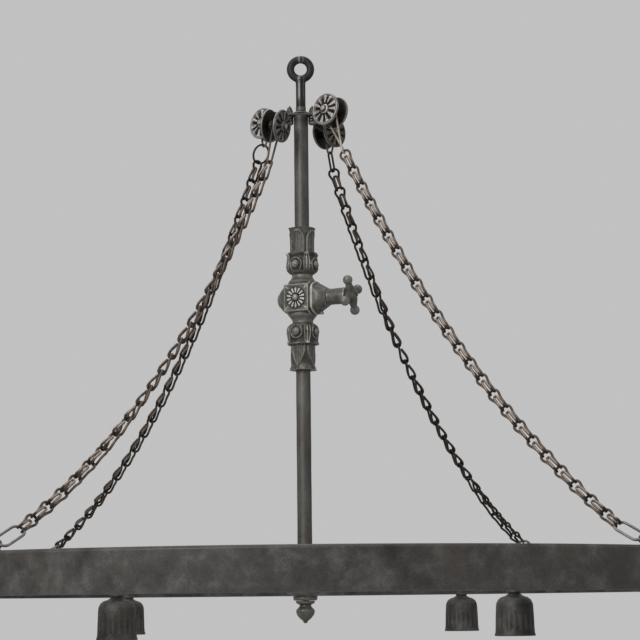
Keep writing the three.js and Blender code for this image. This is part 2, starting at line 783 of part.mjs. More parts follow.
// Pulley, hanger, wire loop, chain and end link of one corner, in the chandelier's own frame
function addChainRun(corner) {
  const { name, ear, pulley, face, upperHanger, twist, extra } = corner;
  const outward = upX.clone().applyAxisAngle(up, radians(corner.angle + cornerTurn));
  const level = new THREE.Vector3().crossVectors(up, outward);
  const centre = outward.clone().multiplyScalar(pulley[0]).addScaledVector(up, pulley[1]);
  const facing = upX.clone().applyAxisAngle(up, radians(face[0])).multiplyScalar(Math.cos(radians(face[1])));
  facing.addScaledVector(up, Math.sin(radians(face[1])));

  const spool = new THREE.Group();
  spool.position.copy(centre);
  spool.quaternion.setFromUnitVectors(up, facing);
  hung.add(spool);
  addPulley(spool, name);
  addHanger(name, ear, upperHanger, centre, facing);

  const loopCentre = centre.clone().addScaledVector(facing, (grooveWidth / 2 + drumStart) / 2);
  const fall = (degrees) => {
    const down = outward.clone().multiplyScalar(Math.cos(radians(degrees)));
    down.addScaledVector(up, -Math.sin(radians(degrees)));
    return down.addScaledVector(facing, -down.dot(facing)).normalize();
  };
  const down = fall(corner.lean);
  const turnedBy = extra ? extra.twist : twist[0];
  const held = linkFrame(level, down, turnedBy);
  const hook = linkWire + loopWire + 2 * seat;
  const loopBend = loopCentre.clone().addScaledVector(down, corner.loopEnd - hook - loopReach);
  addWireLoop(name, loopCentre, facing, down, loopBend, extra ? held.eye : held.fold);
  const crown = loopCentre.clone();
  if (extra) {
    const hang = fall(extra.lean);
    crown.addScaledVector(down, corner.loopEnd - 2 * loopWire - 2 * seat);
    const near = crown.clone().addScaledVector(hang, extra.bend);
    const far = crown.clone().addScaledVector(hang, extra.length - extra.bend);
    const across = linkFrame(level, hang, extra.twist).fold;
    piece(extra.name, solid(longLink(near, far, across, extra.bend, loopWire)), rustedWire(), hung);
    crown.addScaledVector(hang, extra.length - hook);
  } else {
    crown.addScaledVector(down, corner.loopEnd - hook);
  }

  const slope = radians(endLinkSlope);
  const endAlong = outward.clone().multiplyScalar(Math.cos(slope)).addScaledVector(up, -Math.sin(slope));
  const endAcross = linkFrame(level, endAlong, corner.endTwist).eye;
  const tip = outward.clone().multiplyScalar(eyePlace).addScaledVector(up, eyeRingHeight);
  tip.addScaledVector(endAlong, endLinkWire + eyeRingWire + 2 * seat - eyeRingRadius);
  const endFar = tip.clone().addScaledVector(endAlong, -endLinkHalfWidth);
  const endNear = tip.clone().addScaledVector(endAlong, endLinkHalfWidth + 2 * endLinkWire - endLinkLength);
  const endLink = longLink(endNear, endFar, endAcross, endLinkHalfWidth, endLinkWire);
  piece(`end_link_${name}`, solid(endLink), brightWire(), hung);
  const end = endNear.clone().addScaledVector(endAlong, endLinkWire + linkWire + 2 * seat - endLinkHalfWidth);
  addChain(name, level, crown, end, corner.catenary, twist);
}

function addPulley(spool, name) {
  const inner = grooveWidth / 2;
  const inside = clearOf(axleRadius, 16);
  const disc = [
    [pulleyRadius, inner],
    [pulleyRadius, inner + discThickness - 0.8],
    [pulleyRadius - 2, inner + discThickness],
    [drumRadius + 1, inner + discThickness],
    [drumRadius - 1, inner + discThickness + discBoss],
    [inside, inner + discThickness + discBoss],
  ];
  const drum = [
    [inside, drumStart],
    [drumRadius, drumStart],
    [drumRadius, inner],
  ];
  const rosette = turned([...drum, ...disc], 16, true);
  piece(`rosette_${name}`, solid(rosette), castIron(), spool);
  const back = turned([[inside, inner], ...disc], 16, true).rotateX(Math.PI);
  piece(`back_disc_${name}`, solid(back), castIron(), spool);
  const end = inner + discThickness + discBoss + seat;
  const axle = turned([
    [0, -end - axleHead],
    [axleHeadRadius * 0.7, -end - axleHead * 0.8],
    [axleHeadRadius, -end],
    [axleRadius, -end],
    [axleRadius, end],
    [axleHeadRadius, end],
    [axleHeadRadius * 0.7, end + axleHead * 0.8],
    [0, end + axleHead],
  ], 10);
  piece(`axle_${name}`, solid(axle), agedBrass(), spool);
}

function addHanger(name, ear, upper, centre, facing) {
  const boltPlace = new THREE.Vector3(ear * earSpacing, 0, hangerHeight(upper));
  const axlePlace = centre.clone().addScaledVector(facing, hangerPlace);
  const half = hangerThickness / 2;
  const through = (place, direction, reach) => [
    place.clone().addScaledVector(direction, -reach),
    place.clone().addScaledVector(direction, reach),
  ];
  const lead = axlePlace.clone().sub(boltPlace).setZ(0).setLength(hangerLead).add(boltPlace);
  const beside = lead.clone().sub(axlePlace);
  beside.addScaledVector(facing, -beside.dot(facing)).setLength(hangerKnee).add(axlePlace);
  const hanger = cut(
    joined(
      bar(...through(boltPlace, up, half), hangerBoltEye, 10),
      bar(...through(axlePlace, facing, half), hangerEyeRadius, 12),
      rod([boltPlace, lead, beside, axlePlace], hangerRod, 6),
    ),
    bore(...through(boltPlace, up, 2 * half), earBoltRadius, 10),
    bore(...through(axlePlace, facing, 2 * half), axleRadius, 10),
  );
  piece(`hanger_${name}`, hanger, agedBrass(), hung);
}

// A wire ring over the pulley's drum that closes in a narrow bend below, turned to hold the next link
function addWireLoop(name, centre, facing, down, bendCentre, across) {
  const over = drumRadius + 2 * seat + loopWire;
  const groove = new THREE.Vector3().crossVectors(facing, down);
  const side = Math.sign(groove.dot(across)) || 1;
  const top = bend(centre, down.clone().negate(), groove, over, 7);
  const lower = loopReach + linkWire + loopWire + seat;
  const bottom = bend(bendCentre, down, across.clone().multiplyScalar(-side), lower, 5);
  piece(`wire_loop_${name}`, solid(wire([...top, ...bottom], loopWire, 5)), rustedWire(), hung);
}

// Directions of a link: along the chain, across its eye, and through its fold
function linkFrame(level, along, degrees) {
  const upright = new THREE.Vector3().crossVectors(level, along).normalize();
  const eye = upright.applyAxisAngle(along, radians(degrees));
  const fold = new THREE.Vector3().crossVectors(along, eye);
  return { along, eye, fold };
}

function twistAt(twist, share) {
  const place = share * (twist.length - 1);
  const step = Math.min(Math.floor(place), twist.length - 2);
  return THREE.MathUtils.lerp(twist[step], twist[step + 1], place - step);
}

// Ring of three corners round a wire, seen anticlockwise against its direction
function wireCorners(place, direction, outside, radius) {
  const first = outside.clone().addScaledVector(direction, -outside.dot(direction)).normalize();
  return [0, 1, 2].map((k) => {
    const spoke = first.clone().applyAxisAngle(direction, (2 * Math.PI * k) / 3);
    return place.clone().addScaledVector(spoke, radius);
  });
}

// A chain as one closed surface. Where a fold hooks the next eye the wires meet in a four-sided crossing,
// and each link is two wires from one crossing to the next.
function chainGeometry(crowns, frames) {
  const vertices = [];
  const index = [];
  const add = (point) => vertices.push(point.x, point.y, point.z) / 3 - 1;
  const corner = (k) => new THREE.Vector3(vertices[3 * k], vertices[3 * k + 1], vertices[3 * k + 2]);
  const middle = (ring) => ring.reduce((sum, k) => sum.add(corner(k)), new THREE.Vector3()).divideScalar(3);
  const nearest = (from, to) => [0, 1, 2].map((shift) => {
    const ring = [0, 1, 2].map((k) => to[(k + shift) % 3]);
    const length = from.reduce((sum, a, k) => sum + corner(a).distanceTo(corner(ring[k])), 0);
    return { ring, length };
  }).reduce((best, next) => (next.length < best.length ? next : best)).ring;
  // Walls between two rings, each split along the diagonal that bulges outward, so that no wall crosses another
  const connect = (from, to) => {
    const ring = nearest(from, to);
    for (let k = 0; k < 3; k += 1) {
      const next = (k + 1) % 3;
      const [p, q, r, s] = [from[k], from[next], ring[next], ring[k]];
      const start = corner(p);
      const [along, across, beyond] = [q, r, s].map((vertex) => corner(vertex).sub(start));
      if (along.cross(across).dot(beyond) <= 0) {
        index.push(p, q, r, p, r, s);
      } else {
        index.push(p, q, s, q, r, s);
      }
    }
    return ring;
  };
  const run = (from, stations, to) => {
    let ring = from;
    for (let k = 0; k < stations.length; k += 1) {
      const before = k === 0 ? middle(from) : stations[k - 1].place;
      const after = k === stations.length - 1 ? middle(to) : stations[k + 1].place;
      const direction = new THREE.Vector3().subVectors(after, before).normalize();
      const { place, outside } = stations[k];
      const fresh = wireCorners(place, direction, outside, linkWire).map(add);
      ring = connect(ring, fresh);
    }
    connect(ring, to);
  };
  const count = frames.length;
  const station = (i, s, u, v) => {
    const { along, eye, fold } = frames[i];
    const outside = eye.clone().multiplyScalar(u).addScaledVector(fold, v);
    return { place: crowns[i].clone().addScaledVector(along, s).add(outside), outside };
  };
  const pitchOf = (i) => crowns[i].distanceTo(crowns[i + 1]);
  const side = (i, sign) => [
    station(i, eyeHalfWidth * 0.45, sign * eyeHalfWidth * 0.85, 0),
    station(i, eyeHalfWidth * 1.4, sign * eyeHalfWidth, 0),
    station(i, pitchOf(i) * waistShare, sign * waistHalfGap, sign * waistHalfGap * 0.6),
    station(i, pitchOf(i) - foldHalfDepth, 0, sign * foldHalfDepth),
  ];
  const faces = [];
  for (let i = 1; i < count; i += 1) {
    const { fold, along } = frames[i - 1];
    const { eye } = frames[i];
    const half = crossingHeight / 2;
    const [a, b] = [1, -1].map((sign) => add(
      crowns[i].clone().addScaledVector(eye, sign * crossingHalf).addScaledVector(along, -half),
    ));
    const [c, d] = [1, -1].map((sign) => add(
      crowns[i].clone().addScaledVector(fold, sign * crossingHalf).addScaledVector(along, half),
    ));
    faces[i] = { above: { 1: [c, b, a], '-1': [d, a, b] }, below: { 1: [a, c, d], '-1': [b, d, c] } };
  }
  const away = (ring) => [...ring].reverse();
  const crownOver = [-1, 1].map((sign) => station(0, 0, sign * eyeHalfWidth * 0.4, 0));
  run(away(faces[1].above[-1]), [...side(0, -1).reverse(), ...crownOver, ...side(0, 1)], faces[1].above[1]);
  for (let i = 1; i < count - 1; i += 1) {
    for (const sign of [1, -1]) {
      run(faces[i].below[sign], side(i, sign), faces[i + 1].above[sign]);
    }
  }
  const last = count - 1;
  const foldUnder = [1, -1].map((sign) => station(last, pitchOf(last), 0, sign * foldHalfDepth * 0.55));
  const lastSides = [side(last, 1), side(last, -1).reverse()];
  run(faces[last].below[1], [...lastSides[0], ...foldUnder, ...lastSides[1]], away(faces[last].below[-1]));
  const geometry = new THREE.BufferGeometry();
  geometry.setAttribute('position', new THREE.Float32BufferAttribute(vertices, 3));
  geometry.setIndex(index);
  return geometry;
}

function addChain(name, level, start, end, catenary, twist) {
  const span = Math.hypot(end.x - start.x, end.y - start.y);
  const slack = 2 * catenary * Math.sinh(span / 2 / catenary);
  const lowest = span / 2 + catenary * Math.asinh((start.z - end.z) / slack);
  const height = (t) => catenary * Math.cosh((t * span - lowest) / catenary);
  const path = (t) => start.clone().lerp(end, t).setZ(start.z + height(t) - height(0));
  const samples = 400;
  const lengths = [0];
  for (let i = 1; i <= samples; i += 1) {
    lengths.push(lengths[i - 1] + path(i / samples).distanceTo(path((i - 1) / samples)));
  }
  const total = lengths[samples];
  const count = Math.max(3, Math.round(total / linkPitch));
  const crowns = [];
  for (let i = 0; i <= count; i += 1) {
    const length = (total * i) / count;
    const next = Math.max(1, lengths.findIndex((value) => value >= length - 1e-9));
    const share = (length - lengths[next - 1]) / (lengths[next] - lengths[next - 1]);
    crowns.push(path((next - 1 + share) / samples));
  }
  const frames = crowns.slice(0, count).map((crown, i) => {
    const along = new THREE.Vector3().subVectors(crowns[i + 1], crown).normalize();
    return linkFrame(level, along, twistAt(twist, i / (count - 1)));
  });
  piece(`chain_${name}`, solid(chainGeometry(crowns, frames)), rustedWire(), hung);
}

addHangingEye();
addBush();
addPulleyPlate();
addEarBolts();
addStem();
addCockBody();
addCockPlug();
addGlandNut();
addCrossHandle();
addHub();
addHoop();
corners.forEach(addCornerPieces);
corners.forEach(addChainRun);

export default chandelier;
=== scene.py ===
import math

import bmesh
import bpy
import numpy as np
from mathutils import Matrix, Vector


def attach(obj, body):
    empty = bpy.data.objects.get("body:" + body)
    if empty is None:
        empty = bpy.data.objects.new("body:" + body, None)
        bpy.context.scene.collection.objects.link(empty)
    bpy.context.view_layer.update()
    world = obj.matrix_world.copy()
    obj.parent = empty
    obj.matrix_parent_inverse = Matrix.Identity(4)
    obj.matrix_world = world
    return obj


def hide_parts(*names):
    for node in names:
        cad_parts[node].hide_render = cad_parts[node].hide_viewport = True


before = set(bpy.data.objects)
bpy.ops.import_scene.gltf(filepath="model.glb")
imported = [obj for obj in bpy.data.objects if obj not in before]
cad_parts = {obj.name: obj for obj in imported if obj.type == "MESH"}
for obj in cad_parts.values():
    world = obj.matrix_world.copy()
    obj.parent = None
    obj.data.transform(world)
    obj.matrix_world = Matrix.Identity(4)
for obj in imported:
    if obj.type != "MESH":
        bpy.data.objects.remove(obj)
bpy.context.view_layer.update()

# Millimetres in here, heights above the hoop's top edge. The frame's origin is the hanging point.
MM = 0.001
HANG = 593.0  # the hanging point
SEAT = 0.3  # gap between two pieces that touch
UP = Vector((0, 0, 1))


def turned(degrees, axis):
    return Matrix.Rotation(math.radians(degrees), 4, axis)


def shift(x, y=0, z=0):
    return Matrix.Translation((x, y, z))


LAY = turned(90, "Y")  # brings +Z to +X
OVER = turned(180, "X")  # brings +Z to -Z

# Hoop and what it carries
HOOP_RADIUS, HOOP_HEIGHT, HOOP_WALL, HOOP_CHAMFER = 479.85, 45, 6, 2.5
FLANGE, FLANGE_WALL = 30, 5
HOOP_OUTSIDE = 480 * math.cos(math.pi / 64)  # out to the middle of the solid hoop's facets
CORNER_TURN = 3  # degrees from the hoop's diagonals to the chains
STAY, STAY_DEPTH, LAMP_PLACE = 5, 24, 300
EYE_PLACE, EYE_RING, EYE_WIRE, EYE_HEIGHT = 463, 4.1, 1.1, 6.6

# Stem and what hangs on its top
HANG_HOLE, HANG_BAR = 7.5, 4.6
PIPE, PIPE_BORE = 8.6, 6.3
PIPE_FOOT = -17.7  # lower end of the lower stem, in the hub
PLATE_TOP, PLATE, PLATE_HALF = 530.5, 3, 7.5
EAR, EAR_RADIUS, EAR_BOLT = 13.6, 5.6, 2.5
BUSH_FLANGE = 2
PIPE_TOP = PLATE_TOP - PLATE - SEAT

# Cock
COCK, BARREL_TURN = 304, 28
COCK_FLOOR = 69.3  # from the cock's middle to the pipes' ends in its sockets
GLAND_END, HANDLE, HANDLE_ROLL = 59.5, 10, 28.4
HANDLE_ARM, HANDLE_BALL = 19.1, 5.75
COCK_PLACE = shift(0, 0, COCK)
BARREL = COCK_PLACE @ turned(-BARREL_TURN, "Z")
LYING = BARREL @ LAY

# Pulleys and hangers
GROOVE, HANGER = 14, 3.2
HANGER_PLACE = SEAT + HANGER / 2 - GROOVE / 2
DRUM_START = HANGER_PLACE + HANGER / 2 + SEAT
HANGER_ROD, HANGER_BORE = 1.55, 2.9
ROD_LEAD = 7.5  # from the ear bolt straight out
ROD_CLEAR = 21.5  # from the axle to the rod, past the rim of the disc

# Loops, links and chains
LINK_WIRE, LINK_PITCH = 1.45, 24.2
HOOK_REACH = 2.4  # how far a link's hook passes the next link's crown
LAST_SHORT = 0.85  # how far the last link ends before the end link's wire
LOOP_WIRE, LOOP_REACH, LOOP_BEND = 1.25, 0.8, 8.8
END_WIRE, END_LENGTH, END_SLOPE, END_HALF = 1.5, 37.5, 28, 7.6

# Camera, in metres from the hanging point: its turn is yaw, pitch and roll in degrees
CAMERA_PLACE = (-0.01436, -2.4025, -0.64877)
CAMERA_TURN = (0.831, 7.928, -0.597)
CAMERA_LENS, CAMERA_SENSOR = 114.58, 36

# Backdrop and light
BACKDROP = (0.53, 0.535, 0.53, 1)
WORLD_LIGHT = 0.3
LAMP_AIM = Vector((0, 0, -0.3))
LAMPS = (  # name, place in metres, size, watts
    ("key", (-1.35, -2.1, 0.8), 1.2, 48),
    ("top", (-0.2, 0.2, 1.5), 1.4, 17),
    ("fill", (1.8, -1.2, 0.1), 1.6, 5),
)

# Each corner. pulley: distance from the axis and height. face: the rosette's yaw and tilt. upper: the
# hanger's place on its ear bolt. lean: degrees that the wire loop falls below level. loop_end: its lower
# end. twist: the links' turns about the chain, from its top to its end. hook: the side of their hooks.
# extra: a ring or long link between the wire loop and the chain. shine: the strength of the rosette's
# painted highlights, varied from corner to corner as the light falls.
CORNERS = [
    dict(name="front_right", angle=315, ear=1, pulley=(47, 525.7), face=(228, 6), shine=0.9, upper=True,
         lean=64.4, loop_end=63.8, catenary=559, twist=(-16, -14, -11, -15, -40), end_twist=-60, hook=-1),
    dict(name="front_left", angle=225, ear=-1, pulley=(45.8, 507.6), face=(332, -8), shine=0.35, upper=False,
         lean=79.4, loop_end=48.2, catenary=490, twist=(93, 112, 130, 120, 60, 30), end_twist=50, hook=1),
    dict(name="rear_left", angle=135, ear=-1, pulley=(55.4, 525.4), face=(228, 6), shine=1, upper=True,
         lean=87.8, loop_end=28.5, catenary=401, twist=(-10, 4, 10, 12, 15, 65), end_twist=80, hook=1,
         extra=dict(name="chain_ring_rear_left", bend=11.4, length=24.6, lean=68.4, twist=7)),
    dict(name="rear_right", angle=45, ear=1, pulley=(51.5, 515.9), face=(318, 0), shine=0.18, upper=False,
         lean=93, loop_end=27.8, catenary=419, twist=(43, -5, -50, -55, -130), end_twist=65, hook=-1,
         extra=dict(name="long_link_rear_right", bend=3.9, length=25.1, lean=76.1, twist=18)),
]


# Materials

def node_of(tree, kind, **values):
    node = tree.nodes.new(kind)
    for key, value in values.items():
        if key.startswith("in_"):
            node.inputs[key[3:].replace("_", " ")].default_value = value
        else:
            setattr(node, key, value)
    return node


def ramp(tree, factor, stops):
    node = tree.nodes.new("ShaderNodeValToRGB")
    elements = node.color_ramp.elements
    while len(elements) < len(stops):
        elements.new(0.5)
    for element, (place, color) in zip(elements, stops):
        element.position = place
        element.color = (*color, 1)
    tree.links.new(factor, node.inputs["Fac"])
    return node.outputs["Color"]


def mixed(tree, factor, a, b, blend="MIX"):
    node = tree.nodes.new("ShaderNodeMix")
    node.data_type = "RGBA"
    node.blend_type = blend
    for value, socket in ((factor, node.inputs[0]), (a, node.inputs[6]), (b, node.inputs[7])):
        if isinstance(value, bpy.types.NodeSocket):
            tree.links.new(value, socket)
        elif isinstance(value, tuple):
            socket.default_value = (*value, 1)
        else:
            socket.default_value = value
    return node.outputs[2]


def noise(tree, coordinates, scale, detail, roughness):
    node = node_of(tree, "ShaderNodeTexNoise", in_Scale=scale, in_Detail=detail, in_Roughness=roughness)
    tree.links.new(coordinates, node.inputs["Vector"])
    return node.outputs["Fac"]


def iron(name, dark, base, light, rust, rust_share, metallic, bump, mottle, grain, rough=(0.42, 0.62),
         wear=0.6, cavity=0.6, stretch=(1, 1, 1), wear_and_highlight=None, sheen=0.5):
    """Mottled tone, rust patches, edges lighter for wear and painted highlight, painted shade in hollows,
    fine grain.

    Where a mesh has them, its "high" values show painted highlights, some of them wear, and its "low" values
    painted shade."""
    material = bpy.data.materials.new(name)
    material.use_nodes = True
    tree = material.node_tree
    link = tree.links.new
    tree.nodes.clear()
    out = tree.nodes.new("ShaderNodeOutputMaterial")
    shader = node_of(tree, "ShaderNodeBsdfPrincipled", in_Metallic=metallic)
    shader.inputs["Specular IOR Level"].default_value = sheen
    link(shader.outputs[0], out.inputs[0])
    place = tree.nodes.new("ShaderNodeTexCoord")
    mapping = node_of(tree, "ShaderNodeMapping", in_Scale=stretch)
    link(place.outputs["Object"], mapping.inputs["Vector"])
    where = mapping.outputs["Vector"]
    broad = noise(tree, where, mottle, 5, 0.6)
    fine = noise(tree, where, grain, 6, 0.65)
    patches = noise(tree, where, mottle * 0.45, 6, 0.7)
    tone = ramp(tree, broad, [(0.3, dark), (0.52, base), (0.72, light)])
    speckle = ramp(tree, fine, [(0.35, (0.72, 0.72, 0.72)), (0.65, (1.22, 1.22, 1.22))])
    tone = mixed(tree, 1.0, tone, speckle, "MULTIPLY")
    rusted = ramp(tree, patches, [(0.48, (0, 0, 0)), (0.66, (rust_share,) * 3)])
    tone = mixed(tree, rusted, tone, rust)
    geometry = tree.nodes.new("ShaderNodeNewGeometry")
    # Edges lighter, partly wear and partly painted highlight; hollows darker as painted shade.
    edges = ramp(tree, geometry.outputs["Pointiness"], [(0.51, (0, 0, 0)), (0.58, (wear,) * 3)])
    tone = mixed(tree, edges, tone, tuple(min(1, 2.1 * c) for c in light))
    hollows = ramp(tree, geometry.outputs["Pointiness"], [(0.42, (cavity,) * 3), (0.495, (0, 0, 0))])
    tone = mixed(tree, hollows, tone, tuple(0.3 * c for c in dark))
    # The mesh's high values mix in the painted highlight tone, its low values the painted shade tone.
    high = node_of(tree, "ShaderNodeAttribute", attribute_name="high")
    patchy = ramp(tree, broad, [(0.3, (0.55, 0.55, 0.55)), (0.6, (1, 1, 1))])
    tone = mixed(tree, mixed(tree, 1.0, high.outputs["Color"], patchy, "MULTIPLY"), tone,
                 wear_and_highlight or tuple(min(1, 2.6 * c) for c in light))
    low = node_of(tree, "ShaderNodeAttribute", attribute_name="low")
    tone = mixed(tree, low.outputs["Fac"], tone, tuple(0.25 * c for c in dark))
    link(tone, shader.inputs["Base Color"])
    roughness = ramp(tree, broad, [(0.3, (rough[0],) * 3), (0.7, (rough[1],) * 3)])
    link(roughness, shader.inputs["Roughness"])
    relief = node_of(tree, "ShaderNodeBump", in_Strength=bump, in_Distance=0.0004)
    height = mixed(tree, 0.45, fine, broad)
    link(height, relief.inputs["Height"])
    link(relief.outputs[0], shader.inputs["Normal"])
    return material


PIPE_IRON = iron("pipe_iron", (0.05, 0.047, 0.043), (0.092, 0.088, 0.082), (0.15, 0.143, 0.134),
                 (0.1, 0.074, 0.056), 0.35, metallic=0.35, bump=0.2, mottle=60, grain=1100,
                 stretch=(1, 1, 0.35), sheen=0.3)
BLACK_IRON = iron("black_iron", (0.022, 0.021, 0.02), (0.05, 0.048, 0.045), (0.105, 0.103, 0.098),
                  (0.085, 0.065, 0.05), 0.4, metallic=0.35, bump=0.5, mottle=45, grain=500,
                  wear_and_highlight=(0.3, 0.29, 0.29), sheen=0.3)
CAST_IRON = iron("cast_iron", (0.045, 0.043, 0.038), (0.1, 0.097, 0.087), (0.17, 0.165, 0.15),
                 (0.13, 0.098, 0.07), 0.45, metallic=0.35, rough=(0.36, 0.55), bump=0.3, mottle=120,
                 grain=1300, wear=0.7, cavity=0.7, wear_and_highlight=(0.56, 0.55, 0.5), sheen=0.4)
PULLEY_IRON = iron("pulley_iron", (0.014, 0.012, 0.01), (0.03, 0.027, 0.022), (0.065, 0.058, 0.047),
                   (0.055, 0.038, 0.024), 0.5, metallic=0.4, rough=(0.34, 0.55), bump=0.3, mottle=130,
                   grain=1300, wear=0.3, cavity=0.9, wear_and_highlight=(0.62, 0.58, 0.56), sheen=0.4)
AGED_BRASS = iron("aged_brass", (0.016, 0.012, 0.008), (0.036, 0.029, 0.02), (0.075, 0.061, 0.041),
                  (0.04, 0.03, 0.02), 0.6, metallic=0.6, rough=(0.3, 0.5), bump=0.2, mottle=150,
                  grain=1200, wear_and_highlight=(0.4, 0.33, 0.24))
BRIGHT_WIRE = iron("bright_wire", (0.035, 0.035, 0.036), (0.085, 0.085, 0.087), (0.2, 0.2, 0.205),
                   (0.07, 0.055, 0.045), 0.4, metallic=0.5, rough=(0.3, 0.5), bump=0.2, mottle=160,
                   grain=1200)
LOOP_IRON = iron("loop_wire", (0.03, 0.025, 0.02), (0.08, 0.068, 0.055), (0.2, 0.175, 0.15),
                 (0.1, 0.06, 0.036), 0.5, metallic=0.5, rough=(0.34, 0.5), bump=0.25, mottle=170, grain=1200)
# The rear chain iron is a darker copy of the front chain iron: painted shade.
FRONT_CHAIN = iron("front_chain", (0.02, 0.014, 0.01), (0.05, 0.035, 0.026), (0.11, 0.08, 0.06),
                   (0.07, 0.032, 0.017), 0.6, metallic=0.3, rough=(0.4, 0.6), bump=0.4, mottle=160,
                   grain=1100, wear=0.2, cavity=0.4, wear_and_highlight=(0.5, 0.4, 0.34), sheen=0.35)
REAR_CHAIN = iron("rear_chain", (0.008, 0.006, 0.005), (0.02, 0.015, 0.012), (0.045, 0.034, 0.028),
                  (0.04, 0.02, 0.012), 0.5, metallic=0.3, rough=(0.42, 0.62), bump=0.4, mottle=160,
                  grain=1100, wear=0.2, cavity=0.4, wear_and_highlight=(0.2, 0.155, 0.13), sheen=0.3)


# Geometry. A shape is rows of points and a list of faces. A row is x, y, z and, where given, high and low:
# painted highlight (some of it wear) and painted shade.

def turns(count):
    """Angles evenly round a circle."""
    return np.linspace(0, 2 * np.pi, count, endpoint=False)


def upright_ring(radius, height, wire, steps, sides):
    """Ring of round wire in the XZ plane."""
    path = [(radius * math.cos(t), 0, height + radius * math.sin(t)) for t in turns(steps)]
    return tube(path, wire, sides)


def wide(points):
    """The points with columns for high and low."""
    return np.hstack([points, np.zeros((len(points), 5 - points.shape[1]))])


def marked(s, high, low=0):
    """The shape with new high and low values."""
    points = wide(s[0])
    points[:, 3] = high
    points[:, 4] = low
    return points, s[1]


def merged(*shapes):
    points, faces, start = [], [], 0
    for rows, polygons in shapes:
        points.append(wide(rows))
        faces += [tuple(i + start for i in f) for f in polygons]
        start += len(rows)
    return np.vstack(points), faces


def moved(s, matrix):
    m = np.array(matrix, float)
    return np.hstack([s[0][:, :3] @ m[:3, :3].T + m[:3, 3], s[0][:, 3:]]), s[1]


def sheet(grid, wrap=True, loop=False):
    """Faces over a grid of points; wrap joins each row's ends, loop joins the last row to the first."""
    rows, columns = grid.shape[:2]
    faces = []
    for i in range(rows if loop else rows - 1):
        for j in range(columns if wrap else columns - 1):
            a, b = i * columns + j, i * columns + (j + 1) % columns
            k = ((i + 1) % rows) * columns
            faces.append((a, b, k + (j + 1) % columns, k + j))
    return grid.reshape(-1, grid.shape[2]), faces


def lathe(profile, segments, closed=False):
    """Solid of revolution about Z from (radius, height) points."""
    r, z = np.array(profile, float).T
    t = turns(segments)
    grid = np.stack([np.outer(r, np.cos(t)), np.outer(r, np.sin(t)), np.outer(z, np.ones(segments))], -1)
    return sheet(grid, True, closed)


def bend(before, p, after, radius, steps):
    """Points of a bend round p, between its neighbours."""
    back, on = before - p, after - p
    cut = min(radius, back.length * 0.45, on.length * 0.45)
    a, b = p + back.normalized() * cut, p + on.normalized() * cut
    shares = [k / steps for k in range(steps + 1)]
    return [a * (1 - t) ** 2 + p * 2 * t * (1 - t) + b * t * t for t in shares]


def rounded(profile, radius, steps, closed=False):
    """The profile with its corners rounded."""
    points = [Vector(p) for p in profile]
    count = len(points)
    out = []
    for i, p in enumerate(points):
        if not closed and i in (0, count - 1):
            out.append(tuple(p))
        else:
            out += [tuple(q) for q in bend(points[i - 1], p, points[(i + 1) % count], radius, steps)]
    return out


def tube(path, radius, sides, closed=True):
    """Round wire along a path. The radius is one number, or one for each point."""
    p = np.asarray([tuple(q) for q in path], float)
    count = len(p)
    if closed:
        tangent = np.roll(p, -1, 0) - np.roll(p, 1, 0)
    else:
        tangent = np.gradient(p, axis=0)
    tangent /= np.linalg.norm(tangent, axis=1)[:, None]
    normal = np.cross(tangent[0], (0, 0, 1))
    if np.linalg.norm(normal) < 0.1:
        normal = np.cross(tangent[0], (1, 0, 0))
    normals = [normal / np.linalg.norm(normal)]
    for i in range(1, count + 1):
        n = normals[-1] - tangent[i % count] * (normals[-1] @ tangent[i % count])
        normals.append(n / np.linalg.norm(n))
    slip = 0.0
    if closed:
        side = np.cross(tangent[0], normals[0])
        slip = math.atan2(normals[count] @ side, normals[count] @ normals[0])
    radii = np.broadcast_to(np.asarray(radius, float), (count,))
    rings = []
    for i in range(count):
        binormal = np.cross(tangent[i], normals[i])
        t = turns(sides) - slip * i / count
        rings.append(p[i] + radii[i] * (np.outer(np.cos(t), normals[i]) + np.outer(np.sin(t), binormal)))
    points, faces = sheet(np.array(rings), True, closed)
    if not closed:
        faces.append(tuple(range(sides - 1, -1, -1)))
        faces.append(tuple(range((count - 1) * sides, count * sides)))
    return points, faces


def spline(points, steps):
    """Smooth closed curve through the points."""
    p = np.asarray([tuple(q) for q in points], float)
    n = len(p)
    out = []
    for i in range(n):
        a, b, c, d = p[i - 1], p[i], p[(i + 1) % n], p[(i + 2) % n]
        for t in np.arange(steps) / steps:
            out.append(0.5 * (2 * b + (c - a) * t + (2 * a - 5 * b + 4 * c - d) * t**2
                              + (3 * b - a - 3 * c + d) * t**3))
    return np.array(out)


def softened(path, radius, steps):
    """A polyline with its inner corners bent round."""
    points = [Vector(p) for p in path]
    out = [points[0]]
    for before, p, after in zip(points, points[1:], points[2:]):
        out += bend(before, p, after, radius, steps)
    return out + [points[-1]]


def blended(s, voxel):
    """The shape with its parts melted into one skin."""
    obj = bare("melt", s)
    remesh = obj.modifiers.new("remesh", "REMESH")
    remesh.mode = "VOXEL"
    remesh.voxel_size = voxel * MM
    fair = obj.modifiers.new("fair", "SMOOTH")
    fair.factor = 0.6
    fair.iterations = 6
    evaluated = obj.evaluated_get(bpy.context.evaluated_depsgraph_get())
    mesh = evaluated.to_mesh()
    points = np.array([v.co for v in mesh.vertices], float) / MM
    points[:, 2] += HANG
    faces = [tuple(f.vertices) for f in mesh.polygons]
    evaluated.to_mesh_clear()
    bpy.data.objects.remove(obj)
    return points, faces


def added(name, data):
    """A new object in the scene."""
    obj = bpy.data.objects.new(name, data)
    bpy.context.scene.collection.objects.link(obj)
    return obj


